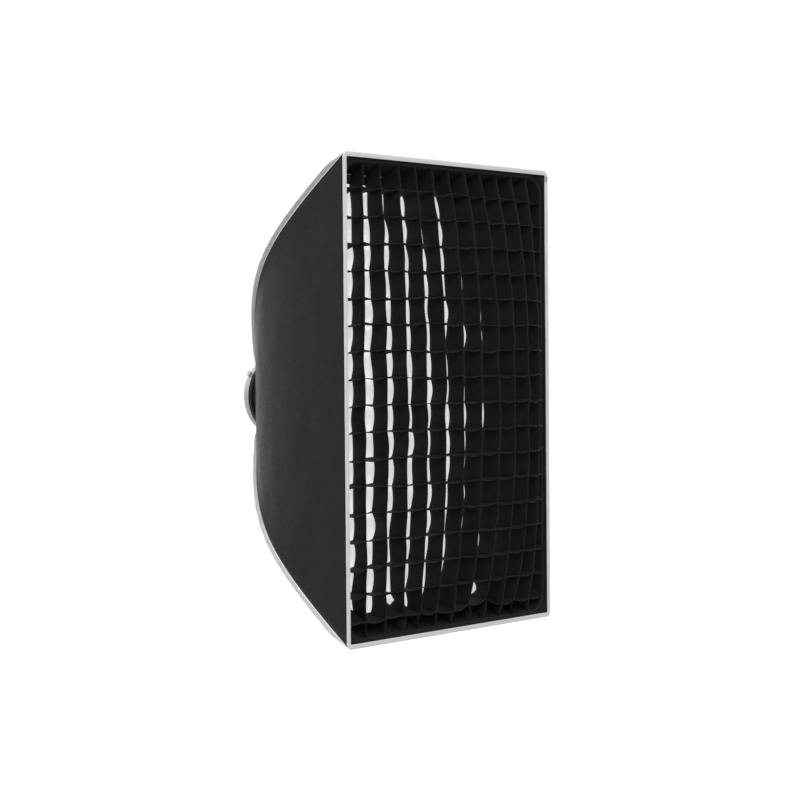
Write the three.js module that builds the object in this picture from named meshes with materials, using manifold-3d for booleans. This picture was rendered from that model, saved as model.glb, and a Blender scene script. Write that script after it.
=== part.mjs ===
// Rectangular softbox with four sprung corner rods, a turning bayonet ring, a front
// diffuser, an inner baffle and a fabric grid. Millimetres, +Z up.
// The front faces -Y and the optical axis is Y. Pieces are drawn from the rear mounting
// face at y = 0, and at the end everything moves so that the origin is the box's middle.
import * as THREE from 'three';
import { mergeVertices } from 'three/addons/utils/BufferGeometryUtils.js';
import Module from 'manifold-3d';

const wasm = await Module();
wasm.setup();

// ---- Driving dimensions ------------------------------------------------------------
const FRONT_WIDTH = 600;            // across the bound front rim
const FRONT_HEIGHT = 900;
const DEPTH = 500;                  // front rim plane to rear mounting face
const FRONT_Y = -DEPTH;
const GAP = 0.3;                    // clearance between neighbouring pieces

const RIM_BAND = 9;                 // width of the tape bound round the front edge
const RIM_THICKNESS = 3;
const RIM_CORNER = 12;
const RIM_OVERHANG = 4;             // rim stands this far outside the shell

const SEAM_START_ANGLE = rad(29.8); // corner seam against the axis, at the front
const SEAM_END_ANGLE = rad(64.9);   // and where it meets the ring
const SEAM_START_HANDLE = 391;
const SEAM_END_HANDLE = 234;
const SEAM_END_RADIUS = 80;
const SEAM_END_DEPTH = 488;         // depth is counted back from the front rim plane
const SEAM_STATIONS = 15;

const CLOTH = 0.9;                  // outer nylon
const LINING = 0.8;                 // silver lining
const FIN_WIDTH = 9;                // bound seam allowance standing out of each corner
const FIN_FRONT_WIDTH = 5;
const FIN_THICKNESS = 2.4;
const FIN_TAPER_DEPTH = 60;

const LIP_DEPTH = 66;               // front lip carrying the loop tape
const LIP_THICKNESS = 1.4;
const LIP_CORNER = 40;
const TAPE = 2;                     // hook tape borders of grid and diffuser

const ROD_RADIUS = 2.5;
const ROD_FRONT_DEPTH = 28;         // where the bare rod ends and its tip begins
const ROD_INSET = 12.5;             // rod centre inside the corner seam
const TIP_RADIUS = 3.7;
const TIP_LENGTH = 16;
const POCKET_RADIUS = 5;
const POCKET_LENGTH = 30;
const POCKET_WALL = 1;
const FERRULE_RADIUS = 3.8;
const FERRULE_LENGTH = 17;
const SOCKET_RADIUS = 6.5;
const SOCKET_MOUTH = 2;             // the socket starts this far along the ferrule

const RING_RADIUS = 76;             // rod ring, outside
const RING_WALL_RADIUS = 62;        // inside of its wall, round the turning adapter
const RING_DEPTH = 26;
const RING_SEAT_RADIUS = 68;
const RING_SEAT_DEPTH = 18;         // seat of the retaining ring, from the rear face
const ADAPTER_BORE_RADIUS = 49;
const ADAPTER_NECK_RADIUS = 59.6;
const ADAPTER_FLANGE_RADIUS = 61.6;
const SLIP_FRONT = 0.2;             // the slip ring lies this far behind the ring's seat
const SLIP_BACK = 1;
const LIP_OF_RING = 6;
const LUG_COUNT = 3;
const LUG_HEIGHT = 11;
const LUG_WALL = 3.5;
const LUG_REACH = 8;                // how far a lug's hook stands out
const LUG_ARC = rad(22);
const SCREW_COUNT = 4;
const SCREW_CIRCLE = 65;
const SCREW_HOLE_RADIUS = 2.3;
const SCREW_SHANK_RADIUS = 1.9;
const SCREW_HEAD_RADIUS = 2.8;
const SCREW_HEAD = 2;
const SCREW_END = -9;
const CLAMP_ANGLE = rad(144.6);     // clamp screw round the ring, from +X towards +Z
const CLAMP_Y = -8.6;
const CLAMP_RADIUS = 3;
const KNOB_RADIUS = 5.6;
const KNOB_LENGTH = 5.5;
const KNOB_TEETH = 16;
const COLLAR_THICKNESS = 1.2;
const COLLAR_BACK = -14.3;
const COLLAR_FRONT = -30;
const RETAINER_THICKNESS = 2.5;

const GRID_COLUMNS = 12;
const GRID_ROWS = 18;
const GRID_FRONT_DEPTH = 9;         // grid edge, back from the rim plane
const GRID_DEPTH = 40;
const GRID_RIBBON = 1.2;
const GRID_ROW_PITCH = 49.4;        // the outer rows are narrower than the others
const GRID_ROW_DROP = 3;            // the rows hang this far below the middle
const GRID_BULGE = 47;              // the grid stands forward of its edge, most at the right
const BULGE_START = -0.85;          // where it starts, as a share of the half width
const BULGE_RISE = 1.2;             // and how far it rises to its full height
const BULGE_RISE_POWER = 0.7;
const BULGE_FALL_POWER = 6.5;
const BULGE_UP_POWER = 2.5;
const GRID_CORNER_CUT = 12;         // the lip's round corners push the crate's corners in
const DIFFUSER_DEPTH = 53;
const DIFFUSER_THICKNESS = 1;

const BAFFLE_DEPTH = 230;
const BAFFLE_WIDTH = 330;
const BAFFLE_HEIGHT = 520;
const STRAP_WIDTH = 10;
const STRAP_THICKNESS = 1.2;
const STRAP_OVERLAP = 4;
const STRAP_BEHIND = 2;
const STRAP_SHORT_OF_SEAM = 38;
const HOOK_RADIUS = 7;
const HOOK_HOLE_RADIUS = 4;

// ---- Small helpers -----------------------------------------------------------------
function rad(degrees) {
  return degrees * Math.PI / 180;
}

const group = new THREE.Group();

const LOOKS = {
  nylon: { color: 0x2b2b2e, roughness: 0.78, metalness: 0 },
  silverCloth: { color: 0xc9ccd0, roughness: 0.35, metalness: 0.6 },
  silverTape: { color: 0xc4c5c8, roughness: 0.55, metalness: 0.1 },
  blackTape: { color: 0x151517, roughness: 0.95, metalness: 0 },
  whiteCloth: { color: 0xf1f2f4, roughness: 0.85, metalness: 0 },
  whiteTape: { color: 0xe4e5e7, roughness: 0.9, metalness: 0 },
  ribbon: { color: 0x141416, roughness: 0.85, metalness: 0 },
  rod: { color: 0x8e9196, roughness: 0.35, metalness: 0.9 },
  plastic: { color: 0x111113, roughness: 0.5, metalness: 0 },
  castMetal: { color: 0xbfc1c4, roughness: 0.42, metalness: 0.85 },
  steel: { color: 0xa9adb2, roughness: 0.3, metalness: 0.95 },
  paintedSteel: { color: 0x1a1a1c, roughness: 0.5, metalness: 0.3 },
  acetal: { color: 0xeeeeea, roughness: 0.45, metalness: 0 },
  elastic: { color: 0xd9dadd, roughness: 0.9, metalness: 0 },
};

function addPart(name, geometry, look) {
  const mesh = new THREE.Mesh(geometry, new THREE.MeshStandardMaterial(LOOKS[look]));
  mesh.name = name;
  group.add(mesh);
  return mesh;
}

function welded(geometry) {
  const bare = geometry.index ? geometry : geometry.clone();
  bare.deleteAttribute('normal');
  bare.deleteAttribute('uv');
  return mergeVertices(bare, 1e-4);
}

function toSolid(geometry) {
  const merged = welded(geometry);
  return new wasm.Manifold(new wasm.Mesh({
    numProp: 3,
    vertProperties: new Float32Array(merged.attributes.position.array),
    triVerts: new Uint32Array(merged.index.array),
  }));
}

function toGeometry(solid) {
  const mesh = solid.getMesh();
  const geometry = new THREE.BufferGeometry();
  geometry.setAttribute('position', new THREE.BufferAttribute(mesh.vertProperties, 3));
  geometry.setIndex(new THREE.BufferAttribute(mesh.triVerts, 1));
  return geometry;
}

function cut(body, ...tools) {
  return toGeometry(tools.reduce((solid, tool) => solid.subtract(toSolid(tool)), toSolid(body)));
}

function join(body, ...others) {
  return toGeometry(others.reduce((solid, other) => solid.add(toSolid(other)), toSolid(body)));
}

// A closed loft through rings of points; every ring has the same number of points.
function loft(rings, closedLoop = false) {
  const size = rings[0].length;
  const positions = rings.flat().flatMap((p) => [p.x, p.y, p.z]);
  const index = [];
  const spans = closedLoop ? rings.length : rings.length - 1;
  for (let i = 0; i < spans; i += 1) {
    const here = i * size;
    const next = ((i + 1) % rings.length) * size;
    for (let j = 0; j < size; j += 1) {
      const k = (j + 1) % size;
      index.push(here + j, next + j, next + k, here + j, next + k, here + k);
    }
  }
  if (!closedLoop) {
    const last = (rings.length - 1) * size;
    for (let j = 1; j < size - 1; j += 1) {
      index.push(0, j, j + 1, last, last + j + 1, last + j);
    }
  }
  const geometry = new THREE.BufferGeometry();
  geometry.setAttribute('position', new THREE.Float32BufferAttribute(positions, 3));
  geometry.setIndex(index);
  return facingOut(geometry);
}

function facingOut(geometry) {
  const p = geometry.attributes.position;
  const index = geometry.index.array;
  const [a, b, c] = [new THREE.Vector3(), new THREE.Vector3(), new THREE.Vector3()];
  let volume = 0;
  for (let i = 0; i < index.length; i += 3) {
    a.fromBufferAttribute(p, index[i]);
    b.fromBufferAttribute(p, index[i + 1]);
    c.fromBufferAttribute(p, index[i + 2]);
    volume += a.dot(b.cross(c));
  }
  if (volume < 0) {
    for (let i = 0; i < index.length; i += 3) {
      [index[i + 1], index[i + 2]] = [index[i + 2], index[i + 1]];
    }
  }
  return geometry;
}

// A turned solid about the Y axis from (radius, y) corners, listed as a closed outline.
function turned(outline, segments = 40) {
  const points = outline.map(([radius, y]) => new THREE.Vector2(radius, y));
  points.push(points[0].clone());
  const geometry = welded(new THREE.LatheGeometry(points, segments));
  return facingOut(geometry);
}

// A bar of round section from one point to another.
function bar(from, to, radius, sides = 16) {
  const along = to.clone().sub(from);
  const geometry = new THREE.CylinderGeometry(radius, radius, along.length(), sides);
  const turn = new THREE.Quaternion().setFromUnitVectors(
    new THREE.Vector3(0, 1, 0), along.clone().normalize());
  geometry.applyQuaternion(turn);
  geometry.translate(...from.clone().addScaledVector(along, 0.5).toArray());
  return geometry;
}

function polar(radius, angle, y) {
  return new THREE.Vector3(radius * Math.cos(angle), y, radius * Math.sin(angle));
}

// A rounded rectangle about the optical axis, drawn in X and Z.
function roundedOutline(path, width, height, corner) {
  const [w, h] = [width / 2 - corner, height / 2 - corner];
  path.absarc(w, h, corner, 0, Math.PI / 2, false);
  path.absarc(-w, h, corner, Math.PI / 2, Math.PI, false);
  path.absarc(-w, -h, corner, Math.PI, Math.PI * 1.5, false);
  path.absarc(w, -h, corner, Math.PI * 1.5, Math.PI * 2, false);
  path.closePath();
  return path;
}

// Extrudes an outline drawn in X and Z from y = from to y = to.
function slab(shape, from, to, curveSegments = 4) {
  const geometry = new THREE.ExtrudeGeometry(shape, {
    depth: to - from, bevelEnabled: false, curveSegments,
  });
  geometry.rotateX(Math.PI / 2);
  geometry.translate(0, to, 0);
  return geometry;
}

// ---- The corner seam and the shell it shapes ------------------------------------------
const HALF_WIDTH = FRONT_WIDTH / 2 - RIM_OVERHANG;
const HALF_HEIGHT = FRONT_HEIGHT / 2 - RIM_OVERHANG;
const HALF_DIAGONAL = Math.hypot(HALF_WIDTH, HALF_HEIGHT);
const ACROSS = HALF_WIDTH / HALF_DIAGONAL;
const UP = HALF_HEIGHT / HALF_DIAGONAL;
const SHELL_FRONT_DEPTH = RIM_THICKNESS + GAP;

// Seam points are (diagonal radius, depth behind the rim plane).
const seamCurve = new THREE.CubicBezierCurve(
  new THREE.Vector2(HALF_DIAGONAL, SHELL_FRONT_DEPTH),
  new THREE.Vector2(
    HALF_DIAGONAL - SEAM_START_HANDLE * Math.sin(SEAM_START_ANGLE),
    SHELL_FRONT_DEPTH + SEAM_START_HANDLE * Math.cos(SEAM_START_ANGLE)),
  new THREE.Vector2(
    SEAM_END_RADIUS + SEAM_END_HANDLE * Math.sin(SEAM_END_ANGLE),
    SEAM_END_DEPTH - SEAM_END_HANDLE * Math.cos(SEAM_END_ANGLE)),
  new THREE.Vector2(SEAM_END_RADIUS, SEAM_END_DEPTH));

function seamAt(t) {
  const point = seamCurve.getPoint(t);
  const tangent = seamCurve.getTangent(t);
  return { radius: point.x, depth: point.y, tangent };
}

function seamTimeAtDepth(depth) {
  let [low, high] = [0, 1];
  while (high - low > 1e-5) {
    const middle = (low + high) / 2;
    if (seamCurve.getPoint(middle).y < depth) {
      low = middle;
    } else {
      high = middle;
    }
  }
  return (low + high) / 2;
}

function timesBetween(start, end, count) {
  return Array.from({ length: count }, (_, i) => start + (end - start) * i / (count - 1));
}

const SIDES = {
  left: { along: 'x', sign: -1, across: ACROSS, other: UP },
  right: { along: 'x', sign: 1, across: ACROSS, other: UP },
  top: { along: 'z', sign: 1, across: UP, other: ACROSS },
  bottom: { along: 'z', sign: -1, across: UP, other: ACROSS },
};

// A layer inside the shell ends this far short of the seam, more for a deeper layer.
function seamClearance(inset) {
  return 1.1 * inset + 0.4;
}

// One edge point of a shell layer: `inset` below the outer surface of that side.
function shellPoint(side, t, inset, edge) {
  const { radius, depth, tangent } = seamAt(t);
  const length = Math.hypot(tangent.x * side.across, tangent.y);
  const distance = radius * side.across - inset * tangent.y / length;
  const forward = -inset * tangent.x * side.across / length;
  const y = FRONT_Y + Math.max(SHELL_FRONT_DEPTH, depth - forward);
  const sideways = edge * (radius * side.other - seamClearance(inset));
  const out = side.sign * distance;
  return side.along === 'x'
    ? new THREE.Vector3(out, y, sideways)
    : new THREE.Vector3(sideways, y, out);
}

function shellSheet(side, inset, thickness, startTime) {
  const rings = timesBetween(startTime, 1, SEAM_STATIONS).map((t) => [
    shellPoint(side, t, inset, -1),
    shellPoint(side, t, inset, 1),
    shellPoint(side, t, inset + thickness, 1),
    shellPoint(side, t, inset + thickness, -1),
  ]);
  return loft(rings);
}

const LINING_START = seamTimeAtDepth(SHELL_FRONT_DEPTH + 6);
const COLLAR_RADIUS = RING_RADIUS + GAP + COLLAR_THICKNESS;
const ringClearance = bar(new THREE.Vector3(0, COLLAR_FRONT - GAP, 0),
  new THREE.Vector3(0, RING_DEPTH, 0), COLLAR_RADIUS + GAP, 48);

function addShell() {
  for (const [name, side] of Object.entries(SIDES)) {
    addPart(`panel_${name}`, cut(shellSheet(side, 0, CLOTH, 0), ringClearance), 'nylon');
    const lining = shellSheet(side, CLOTH + GAP, LINING, LINING_START);
    addPart(`lining_${name}`, cut(lining, ringClearance), 'silverCloth');
  }
}

// The four corners, named as seen from the front with the box standing tall.
const CORNERS = {
  upper_left: [-1, 1],
  upper_right: [1, 1],
  lower_left: [-1, -1],
  lower_right: [1, -1],
};

function onCorner([signX, signZ], radius, depth, aside = 0) {
  return new THREE.Vector3(
    signX * (radius * ACROSS + aside * UP),
    FRONT_Y + depth,
    signZ * (radius * UP - aside * ACROSS));
}

// A point `offset` outside the seam, square to it, in the corner's diagonal plane.
function offSeam(corner, t, offset, aside = 0) {
  const { radius, depth, tangent } = seamAt(t);
  return onCorner(corner, radius + offset * tangent.y, depth - offset * tangent.x, aside);
}

function finWidth(t) {
  const share = THREE.MathUtils.smoothstep(seamAt(t).depth, 0, FIN_TAPER_DEPTH);
  return FIN_FRONT_WIDTH + (FIN_WIDTH - FIN_FRONT_WIDTH) * share;
}

function addSeamBindings() {
  const half = FIN_THICKNESS / 2;
  const foot = 0.8;
  for (const [name, corner] of Object.entries(CORNERS)) {
    const rings = timesBetween(0, 1, SEAM_STATIONS).map((t) => [
      offSeam(corner, t, foot, -half),
      offSeam(corner, t, foot, half),
      offSeam(corner, t, finWidth(t), half),
      offSeam(corner, t, finWidth(t), -half),
    ]);
    addPart(`seam_binding_${name}`, loft(rings), 'silverTape');
  }
}

// ---- Front rim and lip -----------------------------------------------------------------
function addRim() {
  const shape = roundedOutline(new THREE.Shape(), FRONT_WIDTH, FRONT_HEIGHT, RIM_CORNER);
  shape.holes.push(roundedOutline(new THREE.Path(),
    FRONT_WIDTH - 2 * RIM_BAND, FRONT_HEIGHT - 2 * RIM_BAND, RIM_CORNER - RIM_BAND / 2));
  addPart('rim_binding', slab(shape, FRONT_Y, FRONT_Y + RIM_THICKNESS), 'silverTape');
}

// An inset measured square to the sloped shell is wider in the front plane.
const INSET_ACROSS = 1.05;
const INSET_UP = 1.134;

// Rounded rectangular ring that follows the shell's slope, `inset` inside its surface.
function slopedOutline(depth, inset, corner, arcSteps = 4) {
  const { radius } = seamAt(seamTimeAtDepth(depth));
  const [w, h] = [radius * ACROSS - INSET_ACROSS * inset, radius * UP - INSET_UP * inset];
  const points = [];
  const centres = [[1, 1, 0], [-1, 1, 1], [-1, -1, 2], [1, -1, 3]];
  for (const [signX, signZ, quarter] of centres) {
    for (let i = 0; i <= arcSteps; i += 1) {
      const angle = Math.PI / 2 * (quarter + i / arcSteps);
      points.push(new THREE.Vector3(
        signX * (w - corner) + corner * Math.cos(angle),
        FRONT_Y + depth,
        signZ * (h - corner) + corner * Math.sin(angle)));
    }
  }
  return points;
}

// A band lying against the inside of the shell, from one depth to another.
function slopedBand(fromDepth, toDepth, inset, thickness, corner) {
  return loft([
    slopedOutline(fromDepth, inset, corner),
    slopedOutline(toDepth, inset, corner),
    slopedOutline(toDepth, inset + thickness, corner - thickness),
    slopedOutline(fromDepth, inset + thickness, corner - thickness),
  ], true);
}

const LIP_INSET = CLOTH + LINING + 3 * GAP + 0.4;
const TAPE_INSET = LIP_INSET + LIP_THICKNESS + GAP;
const GRID_INSET = TAPE_INSET + TAPE + 3 * GAP;
const GRID_BACK_DEPTH = GRID_FRONT_DEPTH + GRID_DEPTH;

function addLip() {
  const lip = slopedBand(SHELL_FRONT_DEPTH + GAP, LIP_DEPTH, LIP_INSET, LIP_THICKNESS, LIP_CORNER);
  addPart('front_lip', lip, 'blackTape');
}

// ---- Front diffuser and grid --------------------------------------------------------------
function addDiffuser() {
  const corner = LIP_CORNER - LIP_THICKNESS;
  const border = slopedBand(DIFFUSER_DEPTH - 4, LIP_DEPTH - 2, TAPE_INSET, TAPE, corner);
  addPart('diffuser_border', border, 'whiteTape');
  const back = DIFFUSER_DEPTH + DIFFUSER_THICKNESS;
  const sheet = loft([
    slopedOutline(DIFFUSER_DEPTH, GRID_INSET, corner - TAPE),
    slopedOutline(back, GRID_INSET, corner - TAPE),
  ]);
  addPart('front_diffuser', sheet, 'whiteCloth');
}

// How far the grid stands forward at a share of its half width and half height.
function bulge(u, v) {
  const rise = THREE.MathUtils.clamp((u - BULGE_START) / BULGE_RISE, 0, 1) ** BULGE_RISE_POWER;
  const across = rise * Math.max(0, 1 - Math.abs(u) ** BULGE_FALL_POWER);
  return GRID_BULGE * across * Math.max(0, 1 - Math.abs(v) ** BULGE_UP_POWER);
}

// The crate is a lattice of ribbons. Its back is drawn in and its middle pushed forward.
function addGrid() {
  const corner = LIP_CORNER - LIP_THICKNESS;
  const border = slopedBand(GRID_FRONT_DEPTH, GRID_BACK_DEPTH - 2, TAPE_INSET, TAPE, corner);
  addPart('grid_border', border, 'blackTape');

  const front = extent(slopedOutline(GRID_FRONT_DEPTH, GRID_INSET, 0, 1));
  const back = extent(slopedOutline(GRID_BACK_DEPTH, GRID_INSET, 0, 1));
  const xs = ribbonEdges(front.x, GRID_COLUMNS, 2 * front.x / GRID_COLUMNS, 0);
  const zs = ribbonEdges(front.z, GRID_ROWS, GRID_ROW_PITCH, GRID_ROW_DROP);
  const isRibbon = (i) => i % 2 === 0;
  const crate = lattice(xs, zs, (i, k) => isRibbon(i) || isRibbon(k));
  shapeCrate(crate, front, { x: back.x / front.x, z: back.z / front.z });
  addPart('grid_crate', crate, 'ribbon');
}

function extent(points) {
  return {
    x: Math.max(...points.map((p) => p.x)),
    z: Math.max(...points.map((p) => p.z)),
  };
}

// Both edges of every ribbon across the grid, from -half to half.
function ribbonEdges(half, cells, pitch, drop) {
  const end = half - GRID_RIBBON / 2;
  const inner = Array.from({ length: cells - 1 }, (_, i) => (i + 1 - cells / 2) * pitch - drop);
  return [-end, ...inner, end]
    .flatMap((middle) => [middle - GRID_RIBBON / 2, middle + GRID_RIBBON / 2]);
}

// A closed solid over the lattice cells that `isSolid` picks, deep in Y from 0 to GRID_DEPTH.
function lattice(xs, zs, isSolid) {
  const rows = zs.length;
  const point = (i, k, level) => (i * rows + k) * 2 + level;
  const positions = xs.flatMap((x) => zs.flatMap((z) => [x, 0, z, x, GRID_DEPTH, z]));
  const solid = (i, k) => i >= 0 && k >= 0 && i < xs.length - 1 && k < rows - 1 && isSolid(i, k);
  const index = [];
  const quad = (a, b, c, d) => index.push(a, b, c, a, c, d);
  const wall = (i, k, i2, k2) => quad(
    point(i, k, 0), point(i2, k2, 0), point(i2, k2, 1), point(i, k, 1));
  for (let i = 0; i < xs.length - 1; i += 1) {
    for (let k = 0; k < rows - 1; k += 1) {
      if (!solid(i, k)) {
        continue;
      }
      quad(point(i, k, 0), point(i + 1, k, 0), point(i + 1, k + 1, 0), point(i, k + 1, 0));
      quad(point(i, k, 1), point(i, k + 1, 1), point(i + 1, k + 1, 1), point(i + 1, k, 1));
      if (!solid(i - 1, k)) {
        wall(i, k, i, k + 1);
      }
      if (!solid(i + 1, k)) {
        wall(i + 1, k + 1, i + 1, k);
      }
      if (!solid(i, k - 1)) {
        wall(i + 1, k, i, k);
      }
      if (!solid(i, k + 1)) {
        wall(i, k + 1, i + 1, k + 1);
      }
    }
  }
  const geometry = new THREE.BufferGeometry();
  geometry.setAttribute('position', new THREE.Float32BufferAttribute(positions, 3));
  geometry.setIndex(index);
  return facingOut(geometry);
}

function shapeCrate(crate, front, shrink) {
  const p = crate.attributes.position;
  for (let i = 0; i < p.count; i += 1) {
    const [x, y, z] = [p.getX(i), p.getY(i), p.getZ(i)];
    const share = y / GRID_DEPTH;
    const atCorner = front.x - Math.abs(x) < 2 * GRID_RIBBON
      && front.z - Math.abs(z) < 2 * GRID_RIBBON;
    const cornerIn = atCorner ? GRID_CORNER_CUT : 0;
    p.setXYZ(i,
      (x - Math.sign(x) * cornerIn) * (1 + (shrink.x - 1) * share),
      FRONT_Y + GRID_FRONT_DEPTH + y - bulge(x / front.x, z / front.z),
      (z - Math.sign(z) * cornerIn) * (1 + (shrink.z - 1) * share));
  }
}

// ---- Corner rods ---------------------------------------------------------------------------
const ROD_FRONT_TIME = seamTimeAtDepth(ROD_FRONT_DEPTH);
const ROD_END_TIME = 0.985;

function rodPoint(corner, t) {
  return offSeam(corner, t, -ROD_INSET);
}

// The direction in which a rod runs into its socket.
function rodDirection(corner) {
  return rodPoint(corner, ROD_END_TIME).sub(rodPoint(corner, ROD_END_TIME - 0.02)).normalize();
}

function frontDirection(corner) {
  return rodPoint(corner, ROD_FRONT_TIME).sub(rodPoint(corner, ROD_FRONT_TIME + 0.02)).normalize();
}

function rodFrontEnd(corner) {
  return rodPoint(corner, ROD_FRONT_TIME);
}

function rodRearEnd(corner) {
  return rodPoint(corner, ROD_END_TIME);
}

function roundAlong(corner, times, radius, sides) {
  const plane = [
    new THREE.Vector3(corner[0] * UP, 0, -corner[1] * ACROSS),
    new THREE.Vector3(),
  ];
  const rings = times.map((t) => {
    const { tangent } = seamAt(t);
    plane[1].copy(onCorner(corner, tangent.y, -tangent.x)).sub(onCorner(corner, 0, 0));
    const centre = rodPoint(corner, t);
    return Array.from({ length: sides }, (_, i) => {
      const angle = 2 * Math.PI * i / sides;
      return centre.clone()
        .addScaledVector(plane[0], radius * Math.cos(angle))
        .addScaledVector(plane[1], radius * Math.sin(angle));
    });
  });
  return loft(rings);
}

function addRods() {
  for (const [name, corner] of Object.entries(CORNERS)) {
    const front = rodFrontEnd(corner);
    const ahead = frontDirection(corner);
    const rear = rodRearEnd(corner);
    const inward = rodDirection(corner);
    const ferrule = bar(rear.clone().addScaledVector(inward, GAP),
      rear.clone().addScaledVector(inward, FERRULE_LENGTH), FERRULE_RADIUS, 12);
    const tip = bar(front.clone().addScaledVector(ahead, GAP),
      front.clone().addScaledVector(ahead, TIP_LENGTH), TIP_RADIUS, 12);
    addPart(`rod_${name}`,
      roundAlong(corner, timesBetween(ROD_FRONT_TIME, ROD_END_TIME, 13), ROD_RADIUS, 6), 'rod');
    addPart(`rod_ferrule_${name}`, ferrule, 'steel');
    addPart(`rod_tip_${name}`, tip, 'plastic');
    addPart(`corner_pocket_${name}`, cornerPocket(front, ahead), 'blackTape');
  }
}

// A sewn pocket, closed in front, that takes the rod's tip.
function cornerPocket(front, ahead) {
  const closed = front.clone().addScaledVector(ahead, TIP_LENGTH + 2 * POCKET_WALL);
  const mouth = closed.clone().addScaledVector(ahead, -POCKET_LENGTH);
  const floor = front.clone().addScaledVector(ahead, TIP_LENGTH + POCKET_WALL);
  const outside = bar(mouth, closed, POCKET_RADIUS, 12);
  const overrun = mouth.clone().addScaledVector(ahead, -1);
  return cut(outside, bar(overrun, floor, TIP_RADIUS + GAP, 12));
}

// ---- Ring with rod sockets, and the bayonet adapter that turns in it --------------------------
const RING_BACK = -1;
const SEAT_Y = -RING_SEAT_DEPTH;

// A bar on the line of a rod's ferrule, measured inward from the end of the rod.
function alongSocket(corner, from, to, radius) {
  const rear = rodRearEnd(corner);
  const inward = rodDirection(corner);
  return bar(rear.clone().addScaledVector(inward, from),
    rear.clone().addScaledVector(inward, to), radius);
}

// A bar on the clamp screw's line, between two radii of the ring.
function clampBar(radius, from, to) {
  return bar(polar(from, CLAMP_ANGLE, CLAMP_Y), polar(to, CLAMP_ANGLE, CLAMP_Y), radius, 16);
}

const SOCKET_LENGTH = FERRULE_LENGTH + 3;
const RING_LIP_RADIUS = ADAPTER_NECK_RADIUS + 0.4;
const RING_CHAMFER = 1.5;

function addRodRing() {
  const body = turned([
    [RING_RADIUS, -RING_DEPTH],
    [RING_RADIUS, RING_BACK - RING_CHAMFER],
    [RING_RADIUS - RING_CHAMFER, RING_BACK],
    [RING_LIP_RADIUS, RING_BACK],
    [RING_LIP_RADIUS, -LIP_OF_RING],
    [RING_WALL_RADIUS, -LIP_OF_RING],
    [RING_WALL_RADIUS, SEAT_Y],
    [RING_SEAT_RADIUS, SEAT_Y],
    [RING_SEAT_RADIUS, -RING_DEPTH],
  ]);
  const bosses = [];
  const holes = [clampBar(CLAMP_RADIUS + GAP, RING_WALL_RADIUS - 2, RING_RADIUS + 2)];
  for (const corner of Object.values(CORNERS)) {
    bosses.push(alongSocket(corner, SOCKET_MOUTH, SOCKET_LENGTH, SOCKET_RADIUS));
    holes.push(alongSocket(corner, SOCKET_MOUTH - 4, FERRULE_LENGTH + GAP, FERRULE_RADIUS + GAP));
  }
  for (const angle of screwAngles()) {
    holes.push(bar(polar(SCREW_CIRCLE, angle, SCREW_END + 1),
      polar(SCREW_CIRCLE, angle, SEAT_Y - 2), SCREW_HOLE_RADIUS, 12));
  }
  const axis = 0.001;
  const ahead = -2 * RING_DEPTH;
  const keepOut = turned([
    [axis, ahead], [RING_SEAT_RADIUS, ahead],
    [RING_SEAT_RADIUS, SEAT_Y], [RING_WALL_RADIUS, SEAT_Y],
    [RING_WALL_RADIUS, -LIP_OF_RING], [axis, -LIP_OF_RING],
  ]);
  const bored = bosses.reduce((solid, boss) => solid.add(toSolid(boss).subtract(toSolid(keepOut))),
    toSolid(body));
  const ring = holes.reduce((solid, hole) => solid.subtract(toSolid(hole)), bored);
  addPart('rod_ring', toGeometry(ring), 'castMetal');
}

function screwAngles() {
  return Array.from({ length: SCREW_COUNT }, (_, i) => i * 2 * Math.PI / SCREW_COUNT);
}

// Solid between two radii over an arc, from one depth to another.
function arcBlock(innerRadius, outerRadius, middle, arc, from, to) {
  const shape = new THREE.Shape();
  shape.absarc(0, 0, outerRadius, middle - arc / 2, middle + arc / 2, false);
  shape.absarc(0, 0, innerRadius, middle + arc / 2, middle - arc / 2, true);
  shape.closePath();
  return slab(shape, from, to, 3);
}

function addAdapter() {
  const flangeFront = SEAT_Y + SLIP_BACK + GAP;
  const lipFront = flangeFront - 2;
  const lipRadius = ADAPTER_BORE_RADIUS + 4;
  const body = turned([
    [ADAPTER_BORE_RADIUS, lipFront],
    [ADAPTER_BORE_RADIUS, 0],
    [ADAPTER_NECK_RADIUS, 0],
    [ADAPTER_NECK_RADIUS, -LIP_OF_RING - GAP],
    [ADAPTER_FLANGE_RADIUS, -LIP_OF_RING - GAP],
    [ADAPTER_FLANGE_RADIUS, flangeFront],
    [lipRadius, flangeFront],
    [lipRadius, lipFront],
  ]);
  const lugs = [];
  const inner = ADAPTER_BORE_RADIUS + 2;
  for (let i = 0; i < LUG_COUNT; i += 1) {
    const middle = Math.PI / 2 + i * 2 * Math.PI / LUG_COUNT;
    lugs.push(arcBlock(inner, inner + LUG_WALL, middle, LUG_ARC, -1, LUG_HEIGHT));
    lugs.push(arcBlock(inner, inner + LUG_REACH, middle, LUG_ARC, LUG_HEIGHT - 3, LUG_HEIGHT));
  }
  const notch = arcBlock(ADAPTER_BORE_RADIUS - 2, ADAPTER_BORE_RADIUS + 7,
    Math.PI / 2 + Math.PI / LUG_COUNT, rad(9), -5, 2);
  addPart('bayonet_adapter', cut(join(body, ...lugs), notch), 'steel');
}

function washer(innerRadius, outerRadius, front, back) {
  return turned([
    [innerRadius, front], [outerRadius, front], [outerRadius, back], [innerRadius, back],
  ]);
}

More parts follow.
